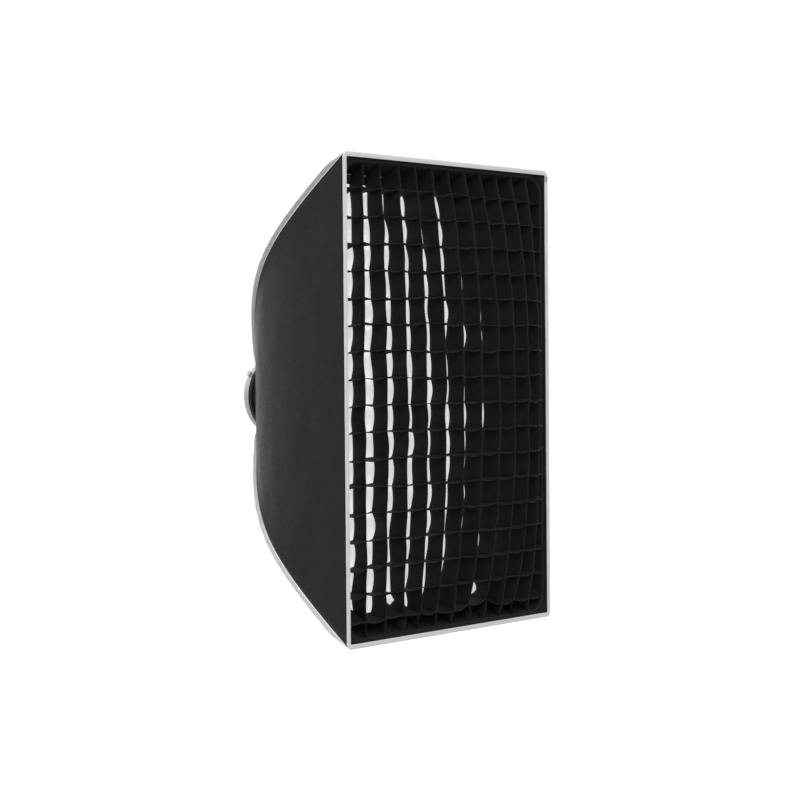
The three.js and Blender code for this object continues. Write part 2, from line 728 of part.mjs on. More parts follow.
function addRingFittings() {
  const inner = ADAPTER_BORE_RADIUS + 5;
  addPart('slip_ring', washer(inner, ADAPTER_FLANGE_RADIUS - 0.2,
    SEAT_Y + SLIP_FRONT, SEAT_Y + SLIP_BACK), 'acetal');
  const back = SEAT_Y - GAP;
  const front = back - RETAINER_THICKNESS;
  const holes = screwAngles().map((angle) => bar(polar(SCREW_CIRCLE, angle, front - 1),
    polar(SCREW_CIRCLE, angle, back + 1), SCREW_HOLE_RADIUS, 12));
  const retainer = washer(inner, RING_SEAT_RADIUS - 0.4, front, back);
  addPart('retaining_ring', cut(retainer, ...holes), 'paintedSteel');
  screwAngles().forEach((angle, i) => {
    const head = front - GAP;
    const shank = bar(polar(SCREW_CIRCLE, angle, head - 0.5),
      polar(SCREW_CIRCLE, angle, SCREW_END), SCREW_SHANK_RADIUS, 10);
    const cap = bar(polar(SCREW_CIRCLE, angle, head - SCREW_HEAD),
      polar(SCREW_CIRCLE, angle, head), SCREW_HEAD_RADIUS, 12);
    addPart(`retaining_screw_${i + 1}`, join(cap, shank), 'steel');
  });
}

// The clamp screw presses a pad on the adapter; its knurled knob turns outside the ring.
function addClamp() {
  const padEnd = RING_WALL_RADIUS - 0.1;
  const knobStart = RING_RADIUS + 1.2;
  addPart('clamp_screw', clampBar(CLAMP_RADIUS, padEnd, knobStart), 'steel');
  const outline = Array.from({ length: 2 * KNOB_TEETH }, (_, i) => {
    const angle = Math.PI * i / KNOB_TEETH;
    const radius = KNOB_RADIUS - 0.6 * (i % 2);
    return new THREE.Vector2(radius * Math.cos(angle), radius * Math.sin(angle));
  });
  const knob = new THREE.ExtrudeGeometry(new THREE.Shape(outline),
    { depth: KNOB_LENGTH, bevelEnabled: false });
  knob.applyQuaternion(new THREE.Quaternion().setFromUnitVectors(
    new THREE.Vector3(0, 0, 1), polar(1, CLAMP_ANGLE, 0)));
  knob.translate(...polar(knobStart + GAP, CLAMP_ANGLE, CLAMP_Y).toArray());
  addPart('clamp_knob', knob, 'castMetal');
}

function addCollar() {
  const band = washer(RING_RADIUS + GAP, COLLAR_RADIUS, COLLAR_FRONT, COLLAR_BACK);
  const sockets = Object.values(CORNERS).map(
    (corner) => alongSocket(corner, -10, FERRULE_LENGTH, SOCKET_RADIUS + 0.5));
  addPart('rear_collar', cut(band, ...sockets), 'nylon');
}

// ---- Inner baffle on elastic straps -----------------------------------------------------------
function addBaffle() {
  const shape = roundedOutline(new THREE.Shape(), BAFFLE_WIDTH, BAFFLE_HEIGHT, 12);
  const y = FRONT_Y + BAFFLE_DEPTH;
  addPart('inner_baffle', slab(shape, y, y + 1), 'whiteCloth');
  const { radius } = seamAt(seamTimeAtDepth(BAFFLE_DEPTH));
  for (const [name, corner] of Object.entries(CORNERS)) {
    const from = new THREE.Vector3(
      corner[0] * (BAFFLE_WIDTH / 2 - STRAP_OVERLAP), y + STRAP_BEHIND,
      corner[1] * (BAFFLE_HEIGHT / 2 - STRAP_OVERLAP));
    const to = onCorner(corner, radius - STRAP_SHORT_OF_SEAM, BAFFLE_DEPTH + STRAP_BEHIND);
    const along = to.clone().sub(from);
    const strap = new THREE.BoxGeometry(along.length(), STRAP_THICKNESS, STRAP_WIDTH);
    const turn = Math.atan2(along.z, along.x);
    strap.rotateY(-turn);
    strap.translate(...from.clone().addScaledVector(along, 0.5).toArray());
    addPart(`baffle_strap_${name}`, strap, 'elastic');
    addPart(`baffle_hook_${name}`, baffleHook(to, turn), 'plastic');
  }
}

// A flat hook: a ring with a mouth, lying in the strap's plane.
function baffleHook(at, turn) {
  const shape = new THREE.Shape();
  shape.absarc(0, 0, HOOK_RADIUS, rad(60), rad(360), false);
  shape.absarc(0, 0, HOOK_HOLE_RADIUS, rad(360), rad(60), true);
  shape.closePath();
  const hook = slab(shape, -1, 1, 6);
  hook.translate(HOOK_RADIUS + 2 * GAP, 0, 0);
  hook.rotateY(-turn);
  hook.translate(...at.toArray());
  return hook;
}

addShell();
addSeamBindings();
addRim();
addLip();
addDiffuser();
addGrid();
addRods();
addRodRing();
addAdapter();
addRingFittings();
addClamp();
addCollar();
addBaffle();

const middle = new THREE.Box3().setFromObject(group).getCenter(new THREE.Vector3());
for (const mesh of group.children) {
  mesh.geometry.translate(0, -middle.y, 0);
}

export default group;
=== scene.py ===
"""Looks of a rectangular softbox with a fabric grid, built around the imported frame.

Metres. The front faces -Y, +Z is up and the optical axis is Y. Cloth pieces replace the
solids that stood in for them, and the metal and plastic solids get their own materials.
"""

import math

import bpy
import numpy as np
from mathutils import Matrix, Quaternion, Vector


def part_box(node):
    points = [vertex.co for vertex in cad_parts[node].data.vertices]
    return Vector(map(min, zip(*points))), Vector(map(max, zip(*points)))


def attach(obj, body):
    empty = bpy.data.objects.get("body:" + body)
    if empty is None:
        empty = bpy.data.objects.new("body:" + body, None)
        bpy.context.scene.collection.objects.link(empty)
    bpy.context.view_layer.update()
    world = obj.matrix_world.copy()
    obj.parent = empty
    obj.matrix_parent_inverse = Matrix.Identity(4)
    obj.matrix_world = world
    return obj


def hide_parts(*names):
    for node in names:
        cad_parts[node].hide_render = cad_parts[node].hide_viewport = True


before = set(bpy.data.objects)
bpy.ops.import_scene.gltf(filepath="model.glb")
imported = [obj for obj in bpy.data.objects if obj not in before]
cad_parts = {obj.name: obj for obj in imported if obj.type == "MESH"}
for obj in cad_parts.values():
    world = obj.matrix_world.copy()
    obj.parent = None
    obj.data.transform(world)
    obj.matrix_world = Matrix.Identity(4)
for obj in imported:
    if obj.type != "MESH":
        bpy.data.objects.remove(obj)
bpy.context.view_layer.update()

# ---- Driving dimensions: a depth is measured back from the rim plane ----
MM = 0.001
RIM_LOW, RIM_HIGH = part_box("rim_binding")
BAFFLE_LOW, BAFFLE_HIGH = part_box("inner_baffle")
FRONT_Y = RIM_LOW.y
MOUNTING_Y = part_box("rod_ring")[1].y + 1 * MM

RIM_BAND = 9 * MM
RIM_THICKNESS = 3 * MM
RIM_CORNER = 12 * MM
RIM_OVERHANG = 4 * MM
SHELL_DEPTH = 3.3 * MM  # where the shell starts

SEAM_START_ANGLE = math.radians(29.8)
SEAM_END_ANGLE = math.radians(64.9)
SEAM_START_HANDLE = 391 * MM
SEAM_END_HANDLE = 234 * MM
SEAM_END_RADIUS = 80 * MM
SEAM_END_DEPTH = 488 * MM

FIN_WIDTH = 9 * MM  # bound seam allowance standing out of each corner
FIN_FRONT_WIDTH = 1.5 * MM
FIN_THICKNESS = 2.4 * MM
FIN_TAPER_DEPTH = 60 * MM

PANEL_THICKNESS = 0.6 * MM
LINING_INSET = 1.6 * MM
LINING_THICKNESS = 0.5 * MM
LINING_DEPTH = SHELL_DEPTH + 6 * MM

LIP_INSET = 3.0 * MM
LIP_THICKNESS = 1.4 * MM
LIP_FRONT = 4 * MM
LIP_BACK = 66 * MM
LIP_CORNER = 40 * MM
WEB_CORNER = 5 * MM
WEB_FRONT = 5 * MM
WEB_THICKNESS = 0.8 * MM
TAPE_INSET = 4.7 * MM  # hook tape of grid and diffuser, against the lip
TAPE = 2 * MM
TAPE_CORNER = LIP_CORNER - LIP_THICKNESS - TAPE

GRID_COLUMNS = 12
GRID_ROWS = 18
GRID_INSET = 7.6 * MM
GRID_FRONT = 9 * MM
GRID_DEPTH = 40 * MM
GRID_TAPE_BACK = 47 * MM
GRID_ROW_PITCH = 49.6 * MM
GRID_ROW_DROP = 8 * MM
GRID_BULGE = 47 * MM  # the grid stands forward of its edge, most at the right

DIFFUSER_DEPTH = 53.5 * MM
DIFFUSER_THICKNESS = 0.6 * MM
DIFFUSER_TAPE = (49 * MM, 64 * MM)
HEM_WIDTH = 15 * MM
HEM_THICKNESS = 0.8 * MM
BAFFLE_THICKNESS = 0.8 * MM
BAFFLE_SCALLOP = 14 * MM  # its edges draw in this far between the straps

ROD_RADIUS = 2.5 * MM
ROD_INSET = 12.5 * MM
ROD_FRONT = 28 * MM
ROD_END_TIME = 0.985  # on the seam's curve
TIP_RADIUS = 3.7 * MM
TIP_LENGTH = 16 * MM
POCKET_RADIUS = 5 * MM
POCKET_LENGTH = 30 * MM
STRAP_WIDTH = 10 * MM
STRAP_THICKNESS = 1 * MM
STRAP_SETBACK = 38 * MM  # its hook ends this far inside the seam

RING_RADIUS = 76 * MM
COLLAR_FRONT = 31 * MM  # ahead of the mounting face
COLLAR_BACK = 19 * MM

# ---- The corner seam ----
HALF_WIDTH = RIM_HIGH.x - RIM_OVERHANG
HALF_HEIGHT = RIM_HIGH.z - RIM_OVERHANG
HALF_DIAGONAL = math.hypot(HALF_WIDTH, HALF_HEIGHT)
ACROSS = HALF_WIDTH / HALF_DIAGONAL
UP = HALF_HEIGHT / HALF_DIAGONAL
CORNERS = {
    "upper_left": (-1, 1),
    "upper_right": (1, 1),
    "lower_left": (-1, -1),
    "lower_right": (1, -1),
}

SEAM_START = np.array([HALF_DIAGONAL, SHELL_DEPTH])
SEAM_END = np.array([SEAM_END_RADIUS, SEAM_END_DEPTH])
START_AIM = np.array([-math.sin(SEAM_START_ANGLE), math.cos(SEAM_START_ANGLE)])
END_AIM = np.array([-math.sin(SEAM_END_ANGLE), math.cos(SEAM_END_ANGLE)])
SEAM_CONTROLS = (
    SEAM_START,
    SEAM_START + SEAM_START_HANDLE * START_AIM,
    SEAM_END - SEAM_END_HANDLE * END_AIM,
    SEAM_END,
)


def seam(t):
    """Diagonal radius, depth behind the rim plane, and the unit tangent in both, at times t."""
    t = np.asarray(t, float)[..., None]
    a, b, c, d = SEAM_CONTROLS
    point = (1 - t) ** 3 * a + 3 * (1 - t) ** 2 * t * b + 3 * (1 - t) * t**2 * c + t**3 * d
    slope = (1 - t) ** 2 * (b - a) + 2 * (1 - t) * t * (c - b) + t**2 * (d - c)
    slope = slope / np.linalg.norm(slope, axis=-1, keepdims=True)
    return point[..., 0], point[..., 1], slope[..., 0], slope[..., 1]


SEAM_TIMES = np.linspace(0, 1, 801)
SEAM_RADII, SEAM_DEPTHS = seam(SEAM_TIMES)[:2]
SEAM_STEPS = np.hypot(np.diff(SEAM_RADII), np.diff(SEAM_DEPTHS))
SEAM_LENGTHS = np.concatenate([[0], np.cumsum(SEAM_STEPS)])


def time_at_depth(depth):
    return float(np.interp(depth, SEAM_DEPTHS, SEAM_TIMES))


def radius_at_depth(depth):
    return float(np.interp(depth, SEAM_DEPTHS, SEAM_RADII))


def even_times(count, start=0.0, end=1.0):
    """Seam times that are evenly spaced by length."""
    first, last = np.interp([start, end], SEAM_TIMES, SEAM_LENGTHS)
    return np.interp(np.linspace(first, last, count), SEAM_LENGTHS, SEAM_TIMES)


def layered(*values):
    """Arrays, spread to one shape and stacked along a new last axis."""
    return np.stack(np.broadcast_arrays(*values), axis=-1)


def off_seam(corner, t, offset, aside=0.0):
    """Points `offset` outside the seam, in the corner's diagonal plane or `aside` from it."""
    radius, depth, slope_r, slope_d = seam(t)
    radius = radius + offset * slope_d
    depth = depth - offset * slope_r
    x = corner[0] * (radius * ACROSS + aside * UP)
    z = corner[1] * (radius * UP - aside * ACROSS)
    return layered(x, FRONT_Y + depth, z)


# ---- Noise and mesh helpers ----
def smoothstep(low, high, value):
    share = np.clip((value - low) / (high - low), 0, 1)
    return share * share * (3 - 2 * share)


def ripple(along, scale, seed):
    """Smooth noise of about -1 to 1 along a length, with bumps about `scale` long."""
    rng = np.random.default_rng(seed)
    total = np.zeros_like(along)
    for _ in range(5):
        period = scale * rng.uniform(0.7, 2.2)
        total = total + rng.uniform(0.4, 1) * np.sin(2 * np.pi * (along / period + rng.uniform()))
    return total / 2.2


def sheet_faces(rows, columns):
    """Faces of an open sheet of points shaped (rows, columns)."""
    index = np.arange(rows * columns).reshape(rows, columns)
    quads = np.stack([index[:-1, :-1], index[1:, :-1], index[1:, 1:], index[:-1, 1:]], axis=-1)
    return quads.reshape(-1, 4).tolist()


def loft_faces(rings, around, closed=False):
    """Faces through rings of `around` points. Open lofts get a cap at both ends."""
    index = np.arange(rings * around).reshape(rings, around)
    if closed:
        index = np.vstack([index, index[:1]])
    beside = np.roll(index, -1, axis=1)
    quads = np.stack([index[:-1], index[1:], beside[1:], beside[:-1]], axis=-1)
    faces = quads.reshape(-1, 4).tolist()
    if not closed:
        faces.append(index[0].tolist())
        faces.append(index[-1][::-1].tolist())
    return faces


def facing_out(points, faces):
    """The faces, turned round if they enclose a negative volume."""
    volume = 0.0
    for face in faces:
        a = points[face[0]]
        for second, third in zip(face[1:-1], face[2:]):
            volume += np.dot(a, np.cross(points[second], points[third]))
    return faces if volume > 0 else [face[::-1] for face in faces]


def merged(parts):
    """Points, faces and cloth coordinates of several (points, faces, cloth) parts as one."""
    faces = []
    start = 0
    for points, part_faces, _ in parts:
        faces += [[start + corner for corner in face] for face in part_faces]
        start += len(points)
    return np.vstack([part[0] for part in parts]), faces, np.vstack([part[2] for part in parts])


def new_object(name, data):
    made = bpy.data.objects.new(name, data)
    bpy.context.scene.collection.objects.link(made)
    return made


def add_piece(name, points, faces, look, body, replaces=(), cloth=None):
    """A smooth mesh object that rides on a body. `cloth` is (along, across, share) per point."""
    points = np.asarray(points, float).reshape(-1, 3)
    mesh = bpy.data.meshes.new(name)
    mesh.from_pydata(points.tolist(), [], faces)
    mesh.polygons.foreach_set("use_smooth", [True] * len(mesh.polygons))
    if cloth is not None:
        attribute = mesh.attributes.new("cloth", "FLOAT_VECTOR", "POINT")
        attribute.data.foreach_set("vector", np.asarray(cloth, np.float32).ravel())
    mesh.materials.append(look)
    mesh.update()
    piece = new_object(name, mesh)
    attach(piece, body)
    if replaces:
        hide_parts(*replaces)
    return piece


def add_loft(name, rings, look, body, replaces=(), closed=False, cloth=None):
    """A closed solid through an array of rings shaped (rings, around, 3)."""
    rings = np.asarray(rings, float)
    points = rings.reshape(-1, 3)
    faces = facing_out(points, loft_faces(rings.shape[0], rings.shape[1], closed))
    return add_piece(name, points, faces, look, body, replaces, cloth)


def thicken(piece, thickness):
    """Gives a sheet its thickness, half to each side."""
    solidify = piece.modifiers.new("thickness", "SOLIDIFY")
    solidify.thickness = thickness
    solidify.offset = 0
    solidify.use_even_offset = False


def lengths_along(points):
    """Running length of a path shaped (count, 3)."""
    steps = np.linalg.norm(np.diff(points, axis=0), axis=-1)
    return np.concatenate([[0], np.cumsum(steps)])


def sheet_coordinates(points):
    """(along, across, share) of a sheet shaped (rows, columns, 3), measured in its middle."""
    rows, columns = points.shape[:2]
    along = lengths_along(points[:, columns // 2])
    across = lengths_along(points[rows // 2])
    return layered(along[:, None], across, np.linspace(0, 1, columns))


def add_sheet(name, points, look, body, replaces):
    """An open sheet of points shaped (rows, columns, 3)."""
    return add_piece(name, points, sheet_faces(*points.shape[:2]), look, body, replaces,
                     sheet_coordinates(points))


def round_rings(path, ahead, radii, sides):
    """Rings of `sides` points round a path, square to the direction `ahead`."""
    side = np.cross(ahead, [0.0, 0.0, 1.0])
    side /= np.linalg.norm(side, axis=-1, keepdims=True)
    up = np.cross(side, ahead)
    turn = np.linspace(0, 2 * np.pi, sides, endpoint=False)[:, None]
    offset = side[..., None, :] * np.cos(turn) + up[..., None, :] * np.sin(turn)
    return path[:, None] + offset * np.reshape(radii, (-1, 1, 1))


# ---- Materials ----
class Look:
    """A node material round one Principled shader."""

    def __init__(self, name, roughness=0.5, metallic=0.0, sheen=0.0):
        self.material = bpy.data.materials.new(name)
        self.material.use_nodes = True
        self.nodes = self.material.node_tree.nodes
        self.links = self.material.node_tree.links
        self.shader = self.nodes["Principled BSDF"]
        self.normal = None
        self.set("Roughness", roughness)
        self.set("Metallic", metallic)
        self.set("Sheen Weight", sheen)
        self.set("Sheen Roughness", 0.5)

    def set(self, name, value):
        """Gives one of the shader's inputs a value or a socket."""
        self.give(self.shader.inputs[name], value)

    def give(self, socket, value):
        if isinstance(value, bpy.types.NodeSocket):
            self.links.new(value, socket)
        else:
            socket.default_value = value

    def colour(self, share, first, second):
        """Base colour that goes from the first to the second as a share goes from 0 to 1."""
        self.set("Base Color", self.mix(share, first, second))

    def uneven(self, share, low, high):
        """Roughness that changes from low to high with a noise."""
        self.set("Roughness", self.ramp(share, 0.3, 0.7, low, high))

    def node(self, kind, inputs, output=0, **settings):
        """An output of a new node, whose inputs get values or sockets."""
        node = self.nodes.new("ShaderNode" + kind)
        for name, value in settings.items():
            setattr(node, name, value)
        for name, value in inputs.items():
            self.give(node.inputs[name], value)
        return node.outputs[output]

    def place(self):
        """Coordinates that stay with the piece."""
        return self.node("TexCoord", {}, "Object")

    def cloth(self):
        """(along, across, share) sockets of the piece's cloth coordinates."""
        attribute = self.node("Attribute", {}, "Vector", attribute_name="cloth")
        return tuple(self.node("SeparateXYZ", {0: attribute}).node.outputs)

    def math(self, operation, a, b=0.0):
        return self.node("Math", {0: a, 1: b}, operation=operation)

    def wave(self, along, period):
        """A sine of -1 to 1 along a length socket."""
        return self.math("SINE", self.math("MULTIPLY", along, 2 * math.pi / period))

    def ramp(self, value, low, high, start=0.0, end=1.0):
        """Smooth change from start to end as a socket goes from low to high."""
        inputs = {"Value": value, "From Min": low, "From Max": high, "To Min": start, "To Max": end}
        return self.node("MapRange", inputs, "Result", interpolation_type="SMOOTHSTEP")

    def noise(self, size, detail=3.0, stretch=(1, 1, 1)):
        """Noise of 0 to 1 whose bumps are about `size` metres."""
        place = self.node("Mapping", {"Scale": stretch, "Vector": self.place()})
        return self.node("TexNoise", {"Scale": 1 / size, "Detail": detail, "Vector": place}, "Fac")

    def cells(self, size):
        """Distance to the nearest of scattered cell centres about `size` metres apart."""
        return self.node("TexVoronoi", {"Scale": 1 / size, "Vector": self.place()}, "Distance")

    def mix(self, share, first, second):
        """Colour between two, each a colour or a socket, as a share goes from 0 to 1."""
        ends = [end if isinstance(end, bpy.types.NodeSocket) else (*end, 1) for end in (first, second)]
        return self.node("Mix", {0: share, 6: ends[0], 7: ends[1]}, 2, data_type="RGBA")

    def bump(self, height, distance, strength=1.0):
        """Adds relief to the surface; `distance` is the height of a full step in metres."""
        inputs = {"Height": height, "Distance": distance, "Strength": strength}
        if self.normal is not None:
            inputs["Normal"] = self.normal
        self.normal = self.node("Bump", inputs)
        self.set("Normal", self.normal)

    def weave(self, pitch, height):
        """Plain weave of warp over weft, from the cloth coordinates."""
        along, across, _ = self.cloth()
        threads = self.math("MULTIPLY", self.wave(along, pitch), self.wave(across, pitch))
        self.bump(threads, height)


def scaled(colour, factor):
    return tuple(min(1.0, factor * part) for part in colour)


def nylon_look():
    look = Look("black_nylon", sheen=0.02)
    look.set("Specular IOR Level", 0.2)
    look.colour(look.noise(120 * MM, 2), (0.0065, 0.0065, 0.0072), (0.0105, 0.0105, 0.0115))
    look.uneven(look.noise(4 * MM), 0.4, 0.52)
    look.weave(1.2 * MM, 0.04 * MM)
    look.bump(look.noise(14 * MM, 2), 0.4 * MM, 0.2)
    return look.material


def lining_look():
    """Silver cloth with a pebbled face."""
    look = Look("silver_lining", metallic=0.85)
    look.set("Base Color", (0.78, 0.79, 0.8, 1))
    look.bump(look.cells(2.6 * MM), 0.35 * MM)
    look.bump(look.noise(30 * MM, 4), 2 * MM, 0.4)
    look.uneven(look.noise(9 * MM), 0.28, 0.46)
    return look.material


def tape_look(name, dark, light):
    """Ribbed binding tape, with painted shade in the troughs of its ribs and a painted highlight that
    whitens its inner edge.
    """
    look = Look(name, 0.62, sheen=0.3)
    along, across, share = look.cloth()
    ribs = look.wave(look.math("ADD", along, look.math("MULTIPLY", across, 0.9)), 4.4 * MM)
    # painted shade: the colour darkens in the troughs of the ribs, the same wave as their relief
    ribbed = look.mix(look.ramp(ribs, -1, 1), dark, light)
    # painted highlight: the tape turns whiter towards its inner edge
    edge_highlighted = look.mix(look.ramp(share, 0.55, 0.8), ribbed, (0.9, 0.9, 0.9))
    dirt = look.ramp(look.noise(25 * MM, 4), 0.35, 0.75, 0, 0.35)
    look.colour(dirt, edge_highlighted, dark)
    look.bump(ribs, 0.35 * MM)
    return look.material


def fuzzy_look(name, colour, sheen):
    """Napped tape: loops or hooks."""
    look = Look(name, 0.95, sheen=sheen)
    look.set("Specular IOR Level", 0.2)
    nap = look.noise(1.1 * MM, 4)
    look.colour(nap, scaled(colour, 0.6), scaled(colour, 1.5))
    look.bump(nap, 0.6 * MM)
    look.bump(look.noise(12 * MM, 2), 0.8 * MM, 0.4)
    return look.material


def white_cloth_look(name, painted_glow):
    """Diffusion cloth, with a painted glow that makes it brighter than the light reaching it."""
    look = Look(name, 0.85, sheen=0.2)
    cloud = look.noise(60 * MM, 2)
    look.colour(cloud, (0.82, 0.825, 0.835), (0.9, 0.905, 0.91))
    # painted glow: the cloth emits light of its own, though it is no lamp
    look.set("Emission Color", (1, 1, 1, 1))
    look.set("Emission Strength", look.ramp(cloud, 0.2, 0.8, 0.92 * painted_glow, 1.08 * painted_glow))
    look.weave(0.9 * MM, 0.08 * MM)
    return look.material


def ribbon_look():
    """Grid ribbon: black cloth, with a painted highlight that makes its folded front edge slightly
    lighter.
    """
    look = Look("grid_ribbon", 0.7, sheen=0.02)
    look.set("Specular IOR Level", 0.15)
    share = look.cloth()[2]
    plain = look.mix(look.noise(18 * MM), (0.005, 0.005, 0.0055), (0.011, 0.011, 0.012))
    # painted highlight: lighter over the first millimetres behind the front edge
    look.colour(look.ramp(share, 0.015, 0.05, 1, 0), plain, (0.02, 0.02, 0.021))
    look.weave(0.8 * MM, 0.1 * MM)
    look.bump(look.noise(9 * MM, 2), 0.7 * MM, 0.5)
    return look.material


def elastic_look():
    """White elastic: cords along it, knit across it."""
    look = Look("white_elastic", 0.85, sheen=0.3)
    along, across, _ = look.cloth()
    cords = look.wave(across, 1.4 * MM)
    look.bump(cords, 0.25 * MM)
    look.bump(look.wave(along, 1.1 * MM), 0.12 * MM)
    # painted shade: the colour darkens in the troughs between the cords, following their relief
    look.colour(look.ramp(cords, -1, 1), (0.55, 0.56, 0.57), (0.8, 0.81, 0.82))
    return look.material


def thread_look(name, colour):
    """Twisted sewing thread."""
    look = Look(name, 0.6, sheen=0.4)
    along, across, _ = look.cloth()
    twist = look.wave(look.math("ADD", along, across), 0.9 * MM)
    look.bump(twist, 0.1 * MM)
    # painted shade: darker in the grooves of the twist, following its relief
    look.colour(look.ramp(twist, -1, 1), scaled(colour, 0.7), colour)
    return look.material


def cast_look():
    look = Look("cast_aluminium", metallic=0.5)
    patch = look.noise(14 * MM)
    look.colour(patch, (0.74, 0.74, 0.75), (0.86, 0.86, 0.87))
    look.uneven(patch, 0.36, 0.52)
    look.bump(look.noise(0.8 * MM, 4), 0.12 * MM)
    return look.material


def steel_look(name, colour, roughness):
    """Plated steel with fine turning lines round the optical axis."""
    look = Look(name, metallic=1.0)
    lines = look.noise(0.9 * MM, 2, stretch=(1, 8, 1))
    look.uneven(lines, roughness - 0.07, roughness + 0.1)
    look.bump(lines, 0.05 * MM)
    look.colour(look.noise(11 * MM), scaled(colour, 0.85), colour)
    return look.material


def plastic_look():
    look = Look("black_plastic")
    look.set("Base Color", (0.018, 0.018, 0.019, 1))
    look.bump(look.noise(0.5 * MM), 0.07 * MM)
    look.uneven(look.noise(8 * MM), 0.36, 0.52)
    return look.material


def painted_look():
    look = Look("painted_steel", 0.45, metallic=0.2)
    look.bump(look.noise(1.6 * MM, 2), 0.1 * MM)
    look.colour(look.noise(20 * MM), (0.016, 0.016, 0.017), (0.03, 0.03, 0.031))
    return look.material


def acetal_look():
    look = Look("acetal")
    look.set("Base Color", (0.86, 0.86, 0.83, 1))
    look.set("Subsurface Weight", 0.15)
    look.bump(look.noise(3 * MM, 2), 0.05 * MM)
    look.uneven(look.noise(6 * MM), 0.34, 0.48)
    return look.material


NYLON = nylon_look()
LINING = lining_look()
TAPE_GREY = tape_look("silver_tape", (0.66, 0.66, 0.67), (0.88, 0.88, 0.89))
RIM_TAPE = tape_look("rim_tape", (0.78, 0.78, 0.79), (0.9, 0.9, 0.9))
LOOP_TAPE = fuzzy_look("black_loop_tape", (0.011, 0.011, 0.012), 0.05)
BLACK_BAND = fuzzy_look("black_band", (0.028, 0.028, 0.029), 0.1)
HOOK_TAPE = fuzzy_look("white_hook_tape", (0.75, 0.75, 0.76), 0.2)
# both cloths carry a painted glow, and the baffle's is faint
WHITE_CLOTH = white_cloth_look("white_cloth", 0.6)
BAFFLE_CLOTH = white_cloth_look("baffle_cloth", 0.05)
RIBBON = ribbon_look()
ELASTIC = elastic_look()
GREY_THREAD = thread_look("grey_thread", (0.62, 0.62, 0.63))
CAST = cast_look()
STEEL = steel_look("plated_steel", (0.66, 0.67, 0.68), 0.28)
ROD_STEEL = steel_look("rod_steel", (0.55, 0.56, 0.58), 0.34)
PLASTIC = plastic_look()
PAINTED = painted_look()
ACETAL = acetal_look()

# ---- Shell ----
SIDES = {"left": (0, -1), "right": (0, 1), "top": (2, 1), "bottom": (2, -1)}
SHELL_ROWS = 76
SHELL_COLUMNS = 57
SEAM_GAP = 0.4 * MM  # half the gap between two panels at a seam
SEAM_MITRE = 1.1  # an inset draws a panel in a little more along its seams
PANEL_CLEARANCE = 2 * MM  # between the ring and the panels
RING_SOFTNESS = 2 * MM
TUCK_DEPTH = 464 * MM  # behind this the cloth is drawn forward, under the collar
TUCK_SHARE = 0.6
TUCK_FADE = 25 * MM  # but not beside the seams


def clear_of_ring(points, radius):
    """Pushes points out to the ring's radius, with a soft bend where the cloth meets it."""
    away = np.hypot(points[..., 0], points[..., 2])
    over = np.clip((away - radius) / RING_SOFTNESS, -40, 40)
    wanted = radius + RING_SOFTNESS * np.logaddexp(0, over)
    scale = np.where(away > radius + 10 * RING_SOFTNESS, 1, wanted / away)
    return points * np.stack([scale, np.ones_like(scale), scale], axis=-1)


def shell_grid(side, inset, start=0.0):
    """Points of one side of the shell, front to ring, `inset` inside its outer surface."""
    axis, sign = SIDES[side]
    across, other = (ACROSS, UP) if axis == 0 else (UP, ACROSS)
    radius, depth, slope_r, slope_d = seam(even_times(SHELL_ROWS, start))
    length = np.hypot(slope_r * across, slope_d)
    out = radius * across - inset * slope_d / length
    behind = np.maximum(SHELL_DEPTH, depth + inset * slope_r * across / length)
    half = radius * other - SEAM_MITRE * inset - SEAM_GAP
    points = np.zeros((SHELL_ROWS, SHELL_COLUMNS, 3))
    points[..., axis] = sign * out[:, None]
    points[..., 1] = FRONT_Y + behind[:, None]
    points[..., 2 - axis] = half[:, None] * np.linspace(-1, 1, SHELL_COLUMNS)
    from_seam = half[:, None] - np.abs(points[..., 2 - axis])
    tucked = np.maximum(0, behind - TUCK_DEPTH)[:, None] * smoothstep(0, TUCK_FADE, from_seam)
    points[..., 1] -= TUCK_SHARE * tucked
    return clear_of_ring(points, RING_RADIUS + PANEL_CLEARANCE - inset)


def outward(side):
    axis, sign = SIDES[side]
    direction = np.zeros(3)
    direction[axis] = sign
    return direction


PUCKER_HEIGHT = 0.9 * MM
PUCKER_LENGTH = 22 * MM
PUCKER_REACH = 16 * MM  # they die out over this distance from the seam
PUCKER_START = 3 * MM  # and grow from nothing over this one


def seam_puckers(side, points):
    """Small gathers where the needle pulled the cloth, dying out away from the seams."""
    axis, _ = SIDES[side]
    along = np.linspace(0, SEAM_LENGTHS[-1], SHELL_ROWS)[:, None]
    sideways = np.abs(points[..., 2 - axis])
    from_seam = sideways.max(axis=1, keepdims=True) - sideways
    waves = ripple(along, PUCKER_LENGTH, 11 + list(SIDES).index(side))
    fade = np.exp(-from_seam / PUCKER_REACH) * (1 - np.exp(-from_seam / PUCKER_START))
    return PUCKER_HEIGHT * waves * fade


FABRIC = {  # settings that all the simulated cloth shares
    "quality": 6,
    "mass": 0.002,
    "air_damping": 2.0,
    "tension_stiffness": 12,
    "compression_stiffness": 6,
    "shear_stiffness": 4,
    "bending_stiffness": 0.6,
}


def cloth_settings(piece, pinned, slack):
    """Puts a Cloth modifier on a piece, held at the pinned vertices."""
    group = piece.vertex_groups.new(name="pinned")
    group.add([int(i) for i in pinned], 1.0, "REPLACE")
    cloth = piece.modifiers.new("cloth", "CLOTH").settings
    cloth.vertex_group_mass = group.name
    cloth.shrink_min = -slack
    for name, value in FABRIC.items():
        setattr(cloth, name, value)


DRAPE_FRAMES = 16


def positions(mesh, shape):
    """The vertices of a mesh as an array of a shape."""
    values = np.zeros(3 * len(mesh.vertices))
    mesh.vertices.foreach_get("co", values)
    return values.reshape(shape)


def move_to(piece, points):
    piece.data.vertices.foreach_set("co", points.ravel())
    piece.data.update()


